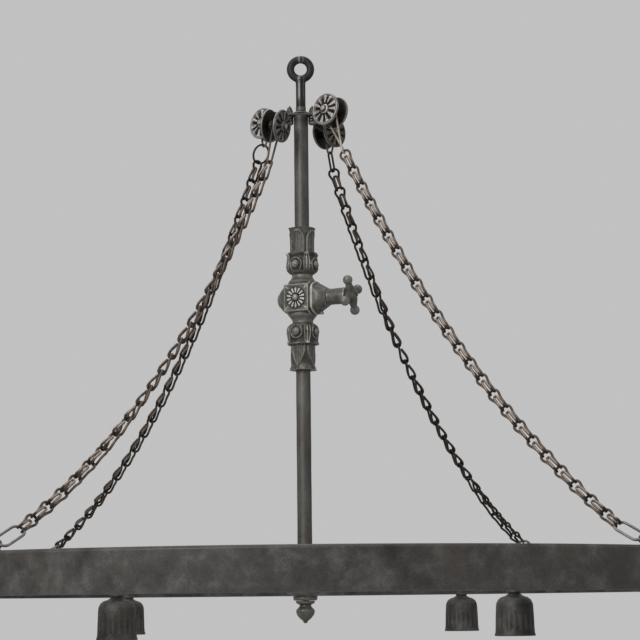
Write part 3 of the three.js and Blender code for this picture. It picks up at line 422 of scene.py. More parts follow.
def bare(name, s):
    """A mesh object of the shape, in metres, with its high and low values as attributes."""
    points, faces = wide(np.asarray(s[0], float)), s[1]
    mesh = bpy.data.meshes.new(name)
    world = points[:, :3] - (0, 0, HANG)
    mesh.from_pydata((world * MM).tolist(), [], faces)
    for key, column in (("high", 3), ("low", 4)):
        values = np.clip(points[:, column], 0, 1)
        mesh.attributes.new(key, "FLOAT", "POINT").data.foreach_set("value", values)
    work = bmesh.new()
    work.from_mesh(mesh)
    bmesh.ops.remove_doubles(work, verts=work.verts, dist=1e-7)
    bmesh.ops.recalc_face_normals(work, faces=work.faces)
    work.to_mesh(mesh)
    work.free()
    return added(name, mesh)


def piece(node, s, material, body="frame", sharp=40):
    """A finished piece that stands for the CAD node and rides on its body."""
    obj = bare(node + "_look", s)
    mesh = obj.data
    mesh.materials.append(material)
    mesh.polygons.foreach_set("use_smooth", [True] * len(mesh.polygons))
    mesh.set_sharp_from_angle(angle=math.radians(sharp))
    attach(obj, body)
    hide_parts(node)


def step(low, high, x):
    """Smooth step from 0 at low to 1 at high."""
    t = np.clip((x - low) / (high - low), 0, 1)
    return t * t * (3 - 2 * t)


def bell(x, width):
    """Smooth bump of height 1 about 0."""
    return np.exp(-((x / width) ** 2))


def radial(s):
    """Distances of the shape's points from the Z axis."""
    return np.hypot(s[0][:, 0], s[0][:, 1])


def bar(a, b, radius, sides=24):
    return tube([Vector(a).lerp(Vector(b), t) for t in (0, 0.5, 1)], radius, sides, False)


# Stem, hanging eye, bush, plate, bolts and nuts

def add_hanging_eye():
    middle = HANG_HOLE + HANG_BAR
    centre = HANG - HANG_HOLE
    ring = upright_ring(middle, centre, HANG_BAR, 64, 20)
    foot = PLATE_TOP + BUSH_FLANGE + SEAT
    bottom = centre - middle
    neck = lathe([
        (0, foot - 18), (4.5, foot - 18), (4.5, foot), (5.7, foot + 0.1), (6.1, foot + 0.5),
        (6.1, foot + 5.4), (5.8, foot + 6), (5.75, foot + 16), (5.8, bottom - 6), (6.4, bottom - 3),
        (7.2, bottom - 0.5), (5.5, bottom + 2), (0, bottom + 2),
    ], 40)
    shape = blended(merged(ring, neck), 0.45)
    x, y, z = shape[0].T
    turn = np.arctan2(y, x)
    # Painted highlight on the collar, painted highlight streaks down the neck's front, and painted shade
    # over the rest of the neck.
    highlight_streak = 0.75 * bell(turn + 1.95, 0.25) + 0.4 * bell(turn + 0.95, 0.12)
    highlight_streak = highlight_streak * step(foot + 9, foot + 20, z)
    high = 0.3 * step(foot + 5.6, foot + 5, z) + highlight_streak
    low = 0.7 * step(foot + 5.4, foot + 6.4, z) * np.clip(1 - 2 * highlight_streak, 0, 1)
    piece("hanging_eye", marked(shape, high, low), BLACK_IRON)


def add_bush():
    bush = lathe(rounded([
        (4.9, PLATE_TOP + BUSH_FLANGE), (4.9, 518.5), (6, 518.5), (6, PLATE_TOP + SEAT),
        (9.3, PLATE_TOP + SEAT), (9.3, PLATE_TOP + 1.2), (6.4, PLATE_TOP + 1.4),
        (6.1, PLATE_TOP + BUSH_FLANGE),
    ], 0.25, 3, True), 48, True)
    # The flange's rim gets a painted highlight.
    piece("top_bush", marked(bush, 0.75 * step(7, 8.8, radial(bush))), BLACK_IRON)


def add_plate():
    """The pulleys' plate, with a round ear on its left and on its right."""
    def half_width(x):
        ear = math.sqrt(max(0, EAR_RADIUS**2 - (abs(x) - EAR) ** 2))
        return max(PLATE_HALF, ear) if abs(x) < EAR else ear

    rim = [(x, -half_width(x)) for x in np.linspace(-EAR - EAR_RADIUS, EAR + EAR_RADIUS, 81)]
    rim += [(x, -y) for x, y in rim[-2:0:-1]]
    base, half = np.array(rim), PLATE / 2
    layers = []
    for inset, z in ((9, -half), (0.7, -half), (0.2, -half + 0.25), (0, -half + 0.8), (0, half - 0.8),
                     (0.2, half - 0.25), (0.7, half), (9, half)):
        spread = base * (1 - inset / 20, 1 - inset / 9.001)
        layers.append(np.column_stack([spread, np.full(len(base), PLATE_TOP - half + z)]))
    piece("pulley_plate", sheet(np.array(layers)), BLACK_IRON)


def hanger_height(upper):
    """Height of a hanger's eye on its ear bolt, which holds an upper and a lower one."""
    below = PLATE_TOP - PLATE - SEAT - HANGER / 2
    return below if upper else below - HANGER - SEAT


def add_bolts():
    head_top = hanger_height(False) - HANGER / 2 - SEAT
    foot = PLATE_TOP + SEAT
    for side, x in (("left", -EAR), ("right", EAR)):
        place = shift(x)
        head = lathe(rounded([(0, head_top), (4.6, head_top), (4.6, head_top - 2.4), (3.4, head_top - 3.6),
                              (0, head_top - 3.6)], 0.5, 3), 6)
        shank = bar((0, 0, head_top - 1), (0, 0, PLATE_TOP + 5), EAR_BOLT)
        piece(f"ear_bolt_{side}", moved(merged(head, shank), place), BLACK_IRON, sharp=30)
        nut = lathe(rounded([(2.6, foot), (3.9, foot), (3.9, foot + 3.6), (3.3, foot + 4.4)], 0.3, 2), 6)
        dome = lathe([(3.2 * math.cos(t), foot + 4.2 + 4.0 * math.sin(t)) for t in np.linspace(0, 1.2, 9)]
                     + [(0.9, foot + 8.5), (0.6, foot + 9.3), (0, foot + 9.5)], 32)
        piece(f"acorn_nut_{side}", moved(merged(nut, dome), place), AGED_BRASS)


def add_stem():
    """Both pipes: a painted highlight streak at the front, painted shade down the sides, and a painted
    shadow on the end below the plate.
    """
    for node, low, high in (("upper_stem", COCK + COCK_FLOOR, PIPE_TOP),
                            ("lower_stem", PIPE_FOOT, COCK - COCK_FLOOR)):
        heights = np.linspace(low, high, 60)
        outer = [(PIPE + 0.05 * math.sin(0.11 * z) + 0.04 * math.sin(0.047 * z + 1), z) for z in heights]
        profile = [(PIPE_BORE, low), (8.2, low)] + outer + [(8.2, high), (PIPE_BORE, high)]
        pipe = lathe(profile, 64, True)
        x, y, z = pipe[0].T
        turn = np.arctan2(y, x)
        # Painted shade on the sides, away from the front.
        sides = 0.45 * step(0.75, 1.35, abs(turn + 1.57))
        painted_shade = np.maximum(0.7 * step(PIPE_TOP - 16, PIPE_TOP - 5, z), sides)
        piece(node, marked(pipe, 0.12 * bell(turn + 1.75, 0.3), painted_shade), PIPE_IRON)


# Cock

NECK, BUD, LIP, SOCKET, MOUTH = range(5)
BUD_RADIUS, SOCKET_RADIUS = 18.4, 14.2
BALL = 40.5  # height of the bud's balls
SOCKET_FOOT, LEAF_HALF = 53.6, 9.1


def bud_relief(phi, z):
    """On each of four sides a ball in a curled leaf, a pointed leaf between two sides, and a wavy rim."""
    middle, seam = phi * BUD_RADIUS, (np.pi / 4 - abs(phi)) * BUD_RADIUS
    from_ball = np.hypot(middle, z - BALL)
    ball = 3.6 * np.sqrt(np.clip(1 - (from_ball / 5.0) ** 2, 0, 1))
    reach = np.where(z > 39.5, from_ball, abs(middle) + 0.3 * max(0, 39.5 - z))
    inside = step(9.0, 7.0, reach)
    curl = 1.7 * bell(reach - 7.7, 1.15)
    leaf = 3.9 * math.sqrt(max(0, 1 - ((z - 41) / 14.0) ** 2)) + 0.01
    blade = 1.0 * bell(seam - leaf, 0.7) + 0.9 * bell(seam, 0.75)
    ground = 1.1 * (1 - inside) * step(leaf - 0.4, leaf + 1, seam)
    leaves = curl - 0.9 * inside - ground + blade * (1 - inside)
    rim = 0.9 * step(50, 54, z) * (0.75 + 0.25 * np.cos(8 * phi))
    return step(30.5, 34.5, z) * leaves + ball + rim


def socket_relief(phi, z, lower):
    """On each of four sides a ridged leaf, pointed on the lower socket and round on the upper one."""
    middle, seam = phi * SOCKET_RADIUS, (np.pi / 4 - abs(phi)) * SOCKET_RADIUS
    height = z - SOCKET_FOOT
    if lower:
        rise = np.clip((height - 6) / 21, 0, 1)
        edge = LEAF_HALF * (1 - rise**1.7)
        off = (abs(middle) - edge) * (0.75 if rise > 0.1 else 1)
    else:
        rise = max(0, (height - 15) / 13)
        off = (np.sqrt((middle / LEAF_HALF) ** 2 + rise * rise) - 1) * LEAF_HALF
    inside = step(0.8, -0.8, off)
    ridge = 1.15 * bell(off, 0.85)
    vein = 0.45 * bell(middle, 0.8) * inside
    flutes = 0.12 * np.cos(middle * 2.6) * inside
    tip = 1.3 * step(0.75, 1.0, height / 31) * bell(seam, 5)
    relief = ridge + vein + flutes + tip - 0.75 * (1 - inside) - 0.45 * inside
    return relief * step(-0.5, 1.5, height)


def leaf_column(lower):
    """Half of the cock's upright casting: neck, leafed bud and leafed socket, with its Z up."""
    neck = [(12.5, 0), (12.5, 12), (16.8, 20.2), (14.3, 23), (12.8, 25.2), (12.2, 27.4), (12.5, 29.2)]
    bud = np.linspace(29.6, 54.4, 74)
    bud_radii = np.interp(bud, [29.6, 30.6, 32.5, 35.5, 39.5, 45, 50, 54.4],
                          [13.2, 15.1, 17, 18.3, 18.7, 18.0, 17.4, 18.2])
    lip = [(17.7, 54.9), (16.7, 54.7), (16.1, 53.6), (15.5, 52.7), (14.7, 52.2), (14.2, 52.6)]
    socket = np.linspace(53, 85, 84)
    socket_radii = 14.1 + 1.6 * ((socket - 52.5) / 32.5) ** 5
    mouth = [(15.4, 85.4), (13.4, 85.3), (9.2, 85), (8.7, 84.4), (8.7, 68)]
    rows = []
    for kind, profile in ((NECK, neck), (BUD, zip(bud_radii, bud)), (LIP, lip),
                          (SOCKET, zip(socket_radii, socket)), (MOUTH, mouth)):
        rows += [(r, z, kind) for r, z in profile]
    count = 288
    theta = turns(count)
    phi = (theta + np.pi / 4) % (np.pi / 2) - np.pi / 4
    grid = np.zeros((len(rows), count, 5))
    for i, (r, z, kind) in enumerate(rows):
        relief = np.zeros(count)
        if kind == BUD:
            relief = bud_relief(phi, z)
        elif kind == LIP:
            relief = 0.7 * (0.75 + 0.25 * np.cos(8 * phi)) * max(0, (r - 14.2) / 3.3)
        elif kind == SOCKET:
            relief = socket_relief(phi, z, lower)
        elif kind == MOUTH and r > 12:
            relief = 1.3 * bell((np.pi / 4 - abs(phi)) * SOCKET_RADIUS, 5) * (r - 12) / 3
        radius = r + relief
        grid[i, :, 0], grid[i, :, 1] = radius * np.cos(theta), radius * np.sin(theta)
        grid[i, :, 2] = z
        # Raised relief gets painted highlight and sunk relief painted shade; the balls get less highlight,
        # and the neck a lighter band.
        if kind in (BUD, LIP, SOCKET):
            grid[i, :, 3] = step(0.5, 1.5, relief) * 0.85
            grid[i, :, 4] = step(-0.3, -0.9, relief) * 0.75
        if kind == BUD:
            grid[i, :, 3] *= np.where(np.hypot(phi * BUD_RADIUS, z - BALL) < 5.1, 0.3, 1)
        if kind == NECK:
            grid[i, :, 3] = 0.2 * bell(z - 26.5, 2.5)
    return sheet(grid)


def daisy_plate(half=16.3, foot_height=-3, petals=14):
    """Square plate with a daisy and a leaf in each corner, its face up at z = 0."""
    side = np.linspace(-half, half, 111)
    u, v = np.meshgrid(side, side)
    d, t = np.hypot(u, v), np.arctan2(v, u)
    edge = half - np.maximum(abs(u), abs(v))
    h = -0.7 + 0.75 * step(2.4, 1.5, edge) - 0.5 * step(0.5, 0, edge)
    across = (t * petals / (2 * np.pi)) % 1 * 2 - 1
    length = np.clip((d - 5) / 7.0, 0, 1)
    width = np.sqrt(np.clip(1 - ((length - 0.55) / 0.5) ** 4, 0, 1)) * 0.86
    inside = (d > 5) & (d < 12) & (abs(across) < width)
    swell = np.sqrt(np.clip(1 - (across / np.maximum(width, 0.01)) ** 2, 0, 1))
    petal = 2.3 * swell * (1 - 0.3 * length)
    h = np.where(inside, h + petal, h)
    dome = 4.8 * np.sqrt(np.clip(1 - (d / 5.0) ** 2, 0, 1))
    h = np.maximum(h, -0.9 + dome)
    # Painted highlights on the petals, boss, rim and leaves; painted shade between the petals and round
    # them.
    shine = np.where(inside, 0.9 * step(0.8, 1.9, petal), 0) + 0.45 * step(3.2, 4.4, dome)
    shine += 0.28 * step(2.6, 1.2, edge) * step(0, 0.4, edge)
    painted_shade = np.where(inside, step(1.0, 0.3, petal), 0.75 * step(14.5, 12.5, d) * step(2.2, 3.2, edge))
    painted_shade *= step(4.6, 5.2, d)
    corner = np.hypot(abs(u) - 12.2, abs(v) - 12.2)
    diagonal = abs(abs(u) - abs(v)) / math.sqrt(2)
    beside = 0.5 * bell(diagonal - 1.9, 0.6) * step(3.2, 1, corner)
    h += 1.1 * bell(diagonal, 0.9) * step(3.6, 1.2, corner) + beside
    blade = bell(diagonal, 0.9) * step(3.6, 1.2, corner)
    rows = np.stack([u, v, h, shine + 0.9 * blade, painted_shade * (1 - blade)], -1)
    face = sheet(rows, False)
    border = np.concatenate([rows[0], rows[1:, -1], rows[-1, -2::-1], rows[-2:0:-1, 0]])
    foot = border.copy()
    foot[:, 2] = foot_height
    skirt = sheet(np.stack([border, foot]), True)
    return merged(face, skirt)


def add_cock_body():
    outline = [(0, -30.6), (3, -30.4), (6, -29.8), (7.2, -29.3), (7.6, -29.7), (8.3, -29.6), (8.8, -28.7)]
    outline += [(22.3 * math.sin(t), -30.6 * math.cos(t)) for t in np.linspace(0.45, 1.02, 14)]
    outline += [(19.6, -15.9), (20.3, -16), (20.9, -15.2), (21.0, -14.2), (20.6, -13.4), (20.9, -12.6),
                (21.9, -8), (22.3, 0), (21.9, 8), (21.2, 11.6), (20.7, 12.4), (21.3, 13.2), (21.4, 14.6),
                (20.7, 15.6), (19.3, 16.2), (18.9, 17.0), (19.9, 17.8), (20.1, 19.2), (19.3, 20.4),
                (17.8, 21.2), (17, 23), (15.6, 26), (13.9, 29), (12.2, 32), (11.0, 34.4), (10.2, 35),
                (4.7, 35)]
    barrel = lathe(outline, 160)
    y, z = barrel[0][:, 1], barrel[0][:, 2]
    # Lighter bands on the barrel's rings, partly wear and partly painted highlight; painted shade in its
    # grooves.
    wear_and_highlight = np.maximum.reduce([bell(z - a, 1.1) for a in (-29.3, -14.4, 14, 19)])
    painted_shade = np.maximum.reduce([bell(z - a, 0.7) for a in (-16.4, 12, 16.6, 21.8)])
    points, faces = marked(barrel, 0.85 * wear_and_highlight * step(6, 7.5, radial(barrel)), 0.8 * painted_shade)
    points[:, 1] = np.where(abs(y) > 15, np.sign(y) * (15 + 0.06 * (abs(y) - 15)), y)
    column = COCK_PLACE @ turned(-BARREL_TURN - 90, "Z")
    upper = moved(leaf_column(False), column)
    lower = moved(leaf_column(True), column @ OVER)
    plates = []
    for side in (-1, 1):
        face = shift(0, side * 17.6) @ turned(-side * 90, "X")
        plates.append(moved(daisy_plate(), BARREL @ face))
    shape = merged(moved((points, faces), LYING), upper, lower, *plates)
    piece("cock_body", shape, CAST_IRON, sharp=50)


def add_cock_fittings():
    """The plug, the gland nut round its spindle, and the stop pin."""
    spindle = rounded([(0, -20), (8, -20), (8, 30), (4.5, 30), (4.5, 66.5), (0, 66.5)], 0.4, 3)
    piece("cock_plug", moved(lathe(spindle, 48), LYING), AGED_BRASS, "cock_handle")
    nut = lathe([
        (4.8, 30.3), (8, 30.3), (8, 35.3), (9.4, 35.3), (9.9, 36), (9.6, 38), (9.5, 42), (9.6, 46),
        (9.7, 52), (9.9, 57), (10.2, 58), (10, 59.1), (9.2, GLAND_END), (4.8, GLAND_END),
    ], 72, True)
    x, z = nut[0][:, 0], nut[0][:, 2]
    # Painted highlight on the nut's rim; painted shade under its shoulder and down one side.
    low = np.maximum(0.7 * step(37.5, 35.2, z), 0.3 * step(2, -6, x))
    nut = marked(nut, 0.3 * bell(z - 58.2, 1.2), low)
    piece("gland_nut", moved(nut, LYING), CAST_IRON)
    pin = rounded([(0, -20), (2.2, -20), (2.2, -18), (1.8, -17.6), (1.8, -5.9), (0, -5.9)], 0.3, 3)
    place = BARREL @ shift(25.7)
    piece("stop_pin", moved(lathe(pin, 24), place), CAST_IRON)


def add_handle():
    """The cross handle: a hub, four arms with balls on their ends, and the pin through the hub."""
    start = GLAND_END + SEAT
    hub = moved(lathe(rounded([
        (4.9, start), (7.6, start), (7.9, start + 1.2), (7.4, start + 5), (6.6, start + 8.6),
        (4.4, start + HANDLE), (0, start + HANDLE), (0, start + 7), (4.9, start + 7),
    ], 0.5, 3), 48), LAY)
    limbs = [hub]
    middle = start + HANDLE / 2
    length = np.linspace(3, 18, 12)
    thick = np.interp(length, [3, 7, 10, 13, 16, 18], [6.6, 6.2, 5.0, 4.0, 3.5, 3.8])
    arm = tube([(middle, 0, z) for z in length], thick, 20, False)
    ball = lathe([(HANDLE_BALL * math.sin(t), -HANDLE_BALL * math.cos(t))
                  for t in np.linspace(0, np.pi, 17)], 28)
    ball = moved(ball, shift(middle, 0, HANDLE_ARM))
    for k in range(4):
        spin = turned(HANDLE_ROLL + 90 * k, "X")
        limbs += [moved(arm, spin), moved(ball, spin)]
    handle = blended(moved(merged(*limbs), BARREL), 0.42)
    local = moved(handle, BARREL.inverted())[0]
    out = np.hypot(local[:, 1], local[:, 2])
    # Painted highlight on the balls and painted shade round the middle of the arms.
    handle = marked(handle, 0.16 * step(14, 17, out), 0.25 * bell(out - 10, 3))
    piece("cross_handle", handle, CAST_IRON, "cock_handle", sharp=60)
    roll = turned(HANDLE_ROLL + 45, "X")
    place = GLAND_END + HANDLE * 0.35
    pin = moved(bar((place, -7.8, 0), (place, 7.8, 0), 1.2, 16), BARREL @ roll)
    piece("handle_pin", pin, BRIGHT_WIRE, "cock_handle")


# Hub, finial and hoop

def add_hub_and_hoop():
    piece("hub", lathe(rounded([
        (8.9, 0), (8.9, -18), (6.3, -18), (6.3, -40), (4.3, -40), (4.3, -52), (13, -52), (14.5, -49.5),
        (13.6, -47.5), (20, -44.5), (23.4, -40), (24, -38), (24, -12), (23, -10), (19, -8.6), (13.5, -7.8),
        (12.4, -6), (13, -3.6), (13, -1), (12, 0),
    ], 0.7, 3, True), 96, True), CAST_IRON)
    top = -52.3
    piece("finial", lathe(rounded([
        (0, top + 10), (4, top + 10), (4, top), (11, top), (11, top - 2.4), (6.4, top - 5), (7.4, top - 7),
        (10.6, top - 10.4), (11, top - 12.4), (9.8, top - 16.5), (6.4, top - 20.6), (3, top - 23.2),
        (2.6, top - 24.6), (1.4, top - 25.8), (0, top - 26),
    ], 0.6, 3), 64), CAST_IRON)
    r, flange, inner = HOOP_RADIUS, HOOP_RADIUS - FLANGE, HOOP_RADIUS - HOOP_WALL
    profile = rounded([
        (inner, -HOOP_HEIGHT), (r, -HOOP_HEIGHT), (r, -HOOP_CHAMFER), (r - HOOP_CHAMFER, 0),
        (flange, 0), (flange, -FLANGE_WALL), (inner, -FLANGE_WALL),
    ], 1.1, 3, True)
    piece("hoop", lathe(profile, 384, True), BLACK_IRON, sharp=50)


def lampholder(flutes=20):
    """Ornamental cup, open below, with flutes round its lower part."""
    outer = [(0, 11), (3, 10.8), (6.5, 9.6), (9, 7.2), (9.6, 0), (9, -7.6), (6.6, -9.6), (5.9, -12),
             (6, -19), (7.4, -20.2), (7.4, -21.8), (6.2, -23), (9.5, -25.4), (14, -26.8), (17.4, -29.2),
             (19.4, -33), (20, -37), (20.1, -50), (20.4, -60), (21.3, -65), (21.9, -66.4), (22, -67.4),
             (21.4, -68)]
    lining = [(18.8, -68), (18.2, -67.4), (18.2, -37), (16, -32.5), (8, -30.4), (0, -30)]
    count = 120
    t = turns(count)
    rows = []
    for radius, z in rounded(outer, 0.5, 2) + lining:
        carved = float(step(-38, -40, z) * step(-62, -60, z))
        flute = 0.45 * np.cos(flutes * t) * carved if radius > 19 else 0
        ring = radius + flute * np.ones(count)
        rows.append(np.column_stack([ring * np.cos(t), ring * np.sin(t), np.full(count, z)]))
    return sheet(np.array(rows))


def add_corner(corner):
    """What the hoop carries at a corner: stay, lampholder and eye."""
    name = corner["name"]
    turn = turned(corner["angle"] + CORNER_TURN, "Z")
    start = HOOP_OUTSIDE + SEAT
    stay = lathe(rounded([
        (0, 12), (STAY, 12), (STAY, start), (9.6, start), (9.9, start + 1.2), (9, start + 3.4),
        (6.4, start + 5.2), (4.6, start + 6.4), (2.6, start + 7.6), (0, start + 7.9),
    ], 0.7, 3), 40)
    place = turn @ shift(0, 0, -STAY_DEPTH) @ LAY
    piece(f"stay_{name}", moved(stay, place), BLACK_IRON)
    place = turn @ shift(LAMP_PLACE, 0, -STAY_DEPTH)
    piece(f"lampholder_{name}", moved(lampholder(), place), BLACK_IRON)
    ring = upright_ring(EYE_RING, EYE_HEIGHT, EYE_WIRE, 40, 12)
    foot = EYE_HEIGHT - EYE_RING
    shank = lathe(rounded([
        (0, -9), (2, -9), (2, SEAT), (3.2, SEAT), (3.2, SEAT + 1), (2.1, SEAT + 1.4), (1.3, foot), (0, foot),
    ], 0.3, 2), 24)
    place = turn @ shift(EYE_PLACE)
    piece(f"hoop_eye_{name}", moved(merged(ring, shank), place), BRIGHT_WIRE)


# Pulleys

def rosette_face(petals=11):
    """Outer face of a rosette, from its rim over its petals to its boss. It looks along +Z."""
    count = petals * 28
    t = turns(count)
    across = (t * petals / (2 * np.pi)) % 1 * 2 - 1
    # Each row: radius, height, painted highlight, painted shade, and whether it holds the petals.
    rows = [(18.1 + 1.5 * math.cos(a), 9.3 + 1.4 * math.sin(a), 0.5 * max(0, math.sin(a + 0.4)), 0, False)
            for a in np.linspace(-1.2, 2.4, 14)]
    rows += [(radius, 9.0, 0, 0, True) for radius in np.linspace(16.7, 6.2, 42)]
    rows += [(6.0, 10.4, 0.1, 0.2, False), (5.8, 11.4, 0.5, 0, False), (5.2, 12.1, 0.9, 0, False),
             (4.3, 12.5, 0.7, 0, False), (2.9, 12.5, 0.2, 0, False)]
    grid = []
    for radius, z, high, low, carved in rows:
        h, bright, painted_shade = np.zeros(count), np.full(count, high), np.full(count, low)
        if carved:
            along = (radius - 6.2) / 10.4
            width = math.sqrt(max(0, 1 - abs((along - 0.62) / 0.5) ** 3)) * 0.8 + 0.001
            swell = np.sqrt(np.clip(1 - (across / width) ** 2, 0, 1))
            crease = 0.5 * bell(across, 0.14) * step(0.15, 0.5, along)
            h = 2.5 * swell * (1.1 - 0.3 * along) - crease
            h = np.where(abs(across) < width, h, 0) + 1.3 * step(7.6, 6.3, radius)
            uneven = 0.75 + 0.25 * np.cos(t * 2 + 1.3)
            lean = across - 0.25 * np.sin(5 * t + 0.7)
            # Painted highlights along the petals' ridges and at their outer ends; painted shade low between
            # them.
            bright = 1.0 * step(1.1, 1.9, h) * bell(lean, 0.42) * uneven + 0.6 * step(0.8, 1, along)
            painted_shade = 0.95 * step(1.4, 0.5, h) * step(1, 0.85, along)
        grid.append(np.column_stack([radius * np.cos(t), radius * np.sin(t), z + h, bright, painted_shade]))
    return sheet(np.array(grid))


def add_pulley(corner, centre, facing):
    """A pulley: the rosette with its drum, the back disc and the axle."""
    name = corner["name"]
    body = f"pulley_{name}"
    place = shift(*centre) @ UP.rotation_difference(facing).to_matrix().to_4x4()
    inner = GROOVE / 2
    inside = lathe(rounded([
        (19.2, inner + 1.5), (19.5, inner + 0.6), (18.8, inner), (12, inner + 0.3), (8.6, inner),
        (7.3, inner - 1), (7, 0), (7, DRUM_START + 1), (6.6, DRUM_START), (2.9, DRUM_START),
    ], 0.4, 2), 96)
    radius = radial(inside)
    # Painted highlight on the rim, painted shade over the inner face.
    inside = marked(inside, 0.5 * step(18.7, 19.3, radius), 0.85 * step(18.4, 16.5, radius))
    face = rosette_face()
    # The corner's shine sets how strong the rosette's painted highlights are.
    face[0][:, 3] *= corner["shine"]
    piece(f"rosette_{name}", moved(merged(face, inside), place), PULLEY_IRON, body)

    back = lathe(rounded([
        (2.9, inner), (12, inner + 0.3), (18.4, inner), (19.3, inner + 0.4), (19.6, inner + 1.2),
        (19.6, inner + 2.4), (19, inner + 3.3), (17.8, inner + 3.5), (16.8, inner + 3.0), (16, inner + 2.5),
        (11, inner + 2.7), (9.8, inner + 3.4), (8.8, inner + 3.2), (7.6, inner + 3.5), (6.4, inner + 5.1),
        (5.4, inner + 5.5), (2.9, inner + 5.5),
    ], 0.35, 2, True), 96, True)
    radius, height = radial(back), back[0][:, 2]
    # Back disc: painted highlight on the rim, painted shade beside the groove.
    high = 0.3 * step(18.9, 19.5, radius) * step(inner + 3.2, inner + 1.6, height)
    low = 0.6 * step(inner + 0.8, inner + 0.4, height) * step(19, 17.5, radius)
    back = marked(back, high, low)
    piece(f"back_disc_{name}", moved(back, place @ OVER), PULLEY_IRON, body)

    end = inner + 3.6 + 1.9 + SEAT
    half = [(4.5, end), (4.4, end + 0.7), (3.7, end + 1.7), (2.4, end + 2.4), (0, end + 2.7)]
    axle = lathe([(r, -z) for r, z in half[::-1]] + [(2.5, -end), (2.5, end)] + half, 32)
    # Painted highlight on the axle's heads.
    axle = marked(axle, 0.9 * step(3.6, 1.5, radial(axle)) * step(end, end + 1, abs(axle[0][:, 2])))
    piece(f"axle_{name}", moved(axle, place), PULLEY_IRON, body)


def add_hanger(corner, centre, facing):
    """A rod from an eye on the ear bolt, out past the pulley's disc, to an eye on its axle."""
    bolt = Vector((corner["ear"] * EAR, 0, hanger_height(corner["upper"])))
    axle = centre + facing * HANGER_PLACE
    flat = axle - bolt
    flat.z = 0
    lead = bolt + flat.normalized() * ROD_LEAD
    beside = lead - axle
    beside -= facing * beside.dot(facing)
    beside = axle + beside.normalized() * ROD_CLEAR

    def eye(at, axis, outer):
        half = HANGER / 2
        ring = [(HANGER_BORE, -half), (outer, -half), (outer, half), (HANGER_BORE, half)]
        turn = UP.rotation_difference(axis).to_matrix().to_4x4()
        return moved(lathe(rounded(ring, 0.8, 3, True), 40, True), shift(*at) @ turn)

    def short(a, b, gap):
        return a + (b - a).normalized() * gap

    path = [short(bolt, lead, 3.6), lead, beside, short(axle, beside, 5)]
    rod = tube(softened(path, 4, 6), HANGER_ROD, 14, False)
    shape = merged(eye(bolt, UP, 4.7), eye(axle, facing, 6.2), rod)
    piece(f"hanger_{corner['name']}", shape, AGED_BRASS)


# Chains

def arc(centre, along, across, radius):
    """Half a circle, from across over along to the other side."""
    return [centre + across * (radius * math.cos(a)) + along * (radius * math.sin(a))
            for a in np.linspace(0, math.pi, 14)]


def round_link(near, far, across, radius, wire):
    """Link with straight sides and two round ends."""
    along = (far - near).normalized()
    path = arc(far, along, across, radius) + arc(near, -along, -across, radius)
    return tube(path, wire, 14)


def link_frame(level, along, degrees):
    """The directions across a link, turned about its run: across its eye and out of its plane."""
    eye = Matrix.Rotation(math.radians(degrees), 3, along) @ level.cross(along).normalized()
    return eye, along.cross(eye)


def folded_link(crown, along, eye, fold, pitch, reach, hook):
    """A long ring of wire: an eye at the crown, two strands, and its far end bent up in front as a hook."""
    half = [
        (0.0, 0.0, 0.0), (0.6, 3.0, 0.0), (2.4, 5.2, -0.1), (5.2, 6.0, -0.4), (8.0, 5.4, -0.9),
        (10.6, 4.5, -1.6), (13.6, 3.8, -2.5), (17.2, 3.5, -3.3), (reach - 4.8, 3.3, -3.9),
        (reach - 2.3, 3.1, -3.5), (reach - 0.6, 3.0, -2.0), (reach, 2.9, 0.0), (reach - 0.6, 2.8, 2.0),
        (reach - 2.4, 2.6, 3.5), (reach - 5.0, 2.4, 3.9), (17.2, 2.2, 3.5), (14.0, 2.1, 2.7),
        (11.2, 2.0, 2.1), (9.3, 1.4, 1.8), (8.8, 0.0, 1.8),
    ]
    stretch = pitch / LINK_PITCH
    half = [(s * stretch if s < 18 else s, u, v * hook) for s, u, v in half]
    path = half + [(s, -u, v) for s, u, v in half[-2:0:-1]]
    points = [crown + along * s + eye * u + fold * v for s, u, v in path]
    centres, sides = spline(points, 2), 8
    rows, faces = tube(centres, LINK_WIRE, sides)
    rows = wide(rows)
    middle = np.repeat(centres, sides, 0)
    normal = (rows[:, :3] - middle) / LINK_WIRE
    s = (middle - np.array(crown)) @ np.array(along)
    out = (middle - np.array(crown)) @ np.array(fold) * hook
    front = normal @ np.array(fold) * hook
    left = normal @ np.array(eye) * hook
    # Painted highlight on the front, inward side of the strands in the lower half and on the front of the
    # eye's sides; painted shade at the hook and crown, where links touch.
    lit = bell(front - 0.75, 0.4) * bell(left - 0.45, 0.75) * step(0.4, 1.4, out)
    lit *= step(9, 10.5, s) * step(reach - 2, reach - 6, s)
    edge = step(0.3, 0.9, front) * step(0.2, -0.8, out) * step(9, 12, s) * step(19, 16, s)
    rows[:, 3] = np.maximum(0.85 * lit, 0.4 * edge)
    rows[:, 4] = np.maximum(0.7 * step(reach - 5.5, reach - 2.5, s), 0.5 * step(3.5, 1, s))
    return rows, faces


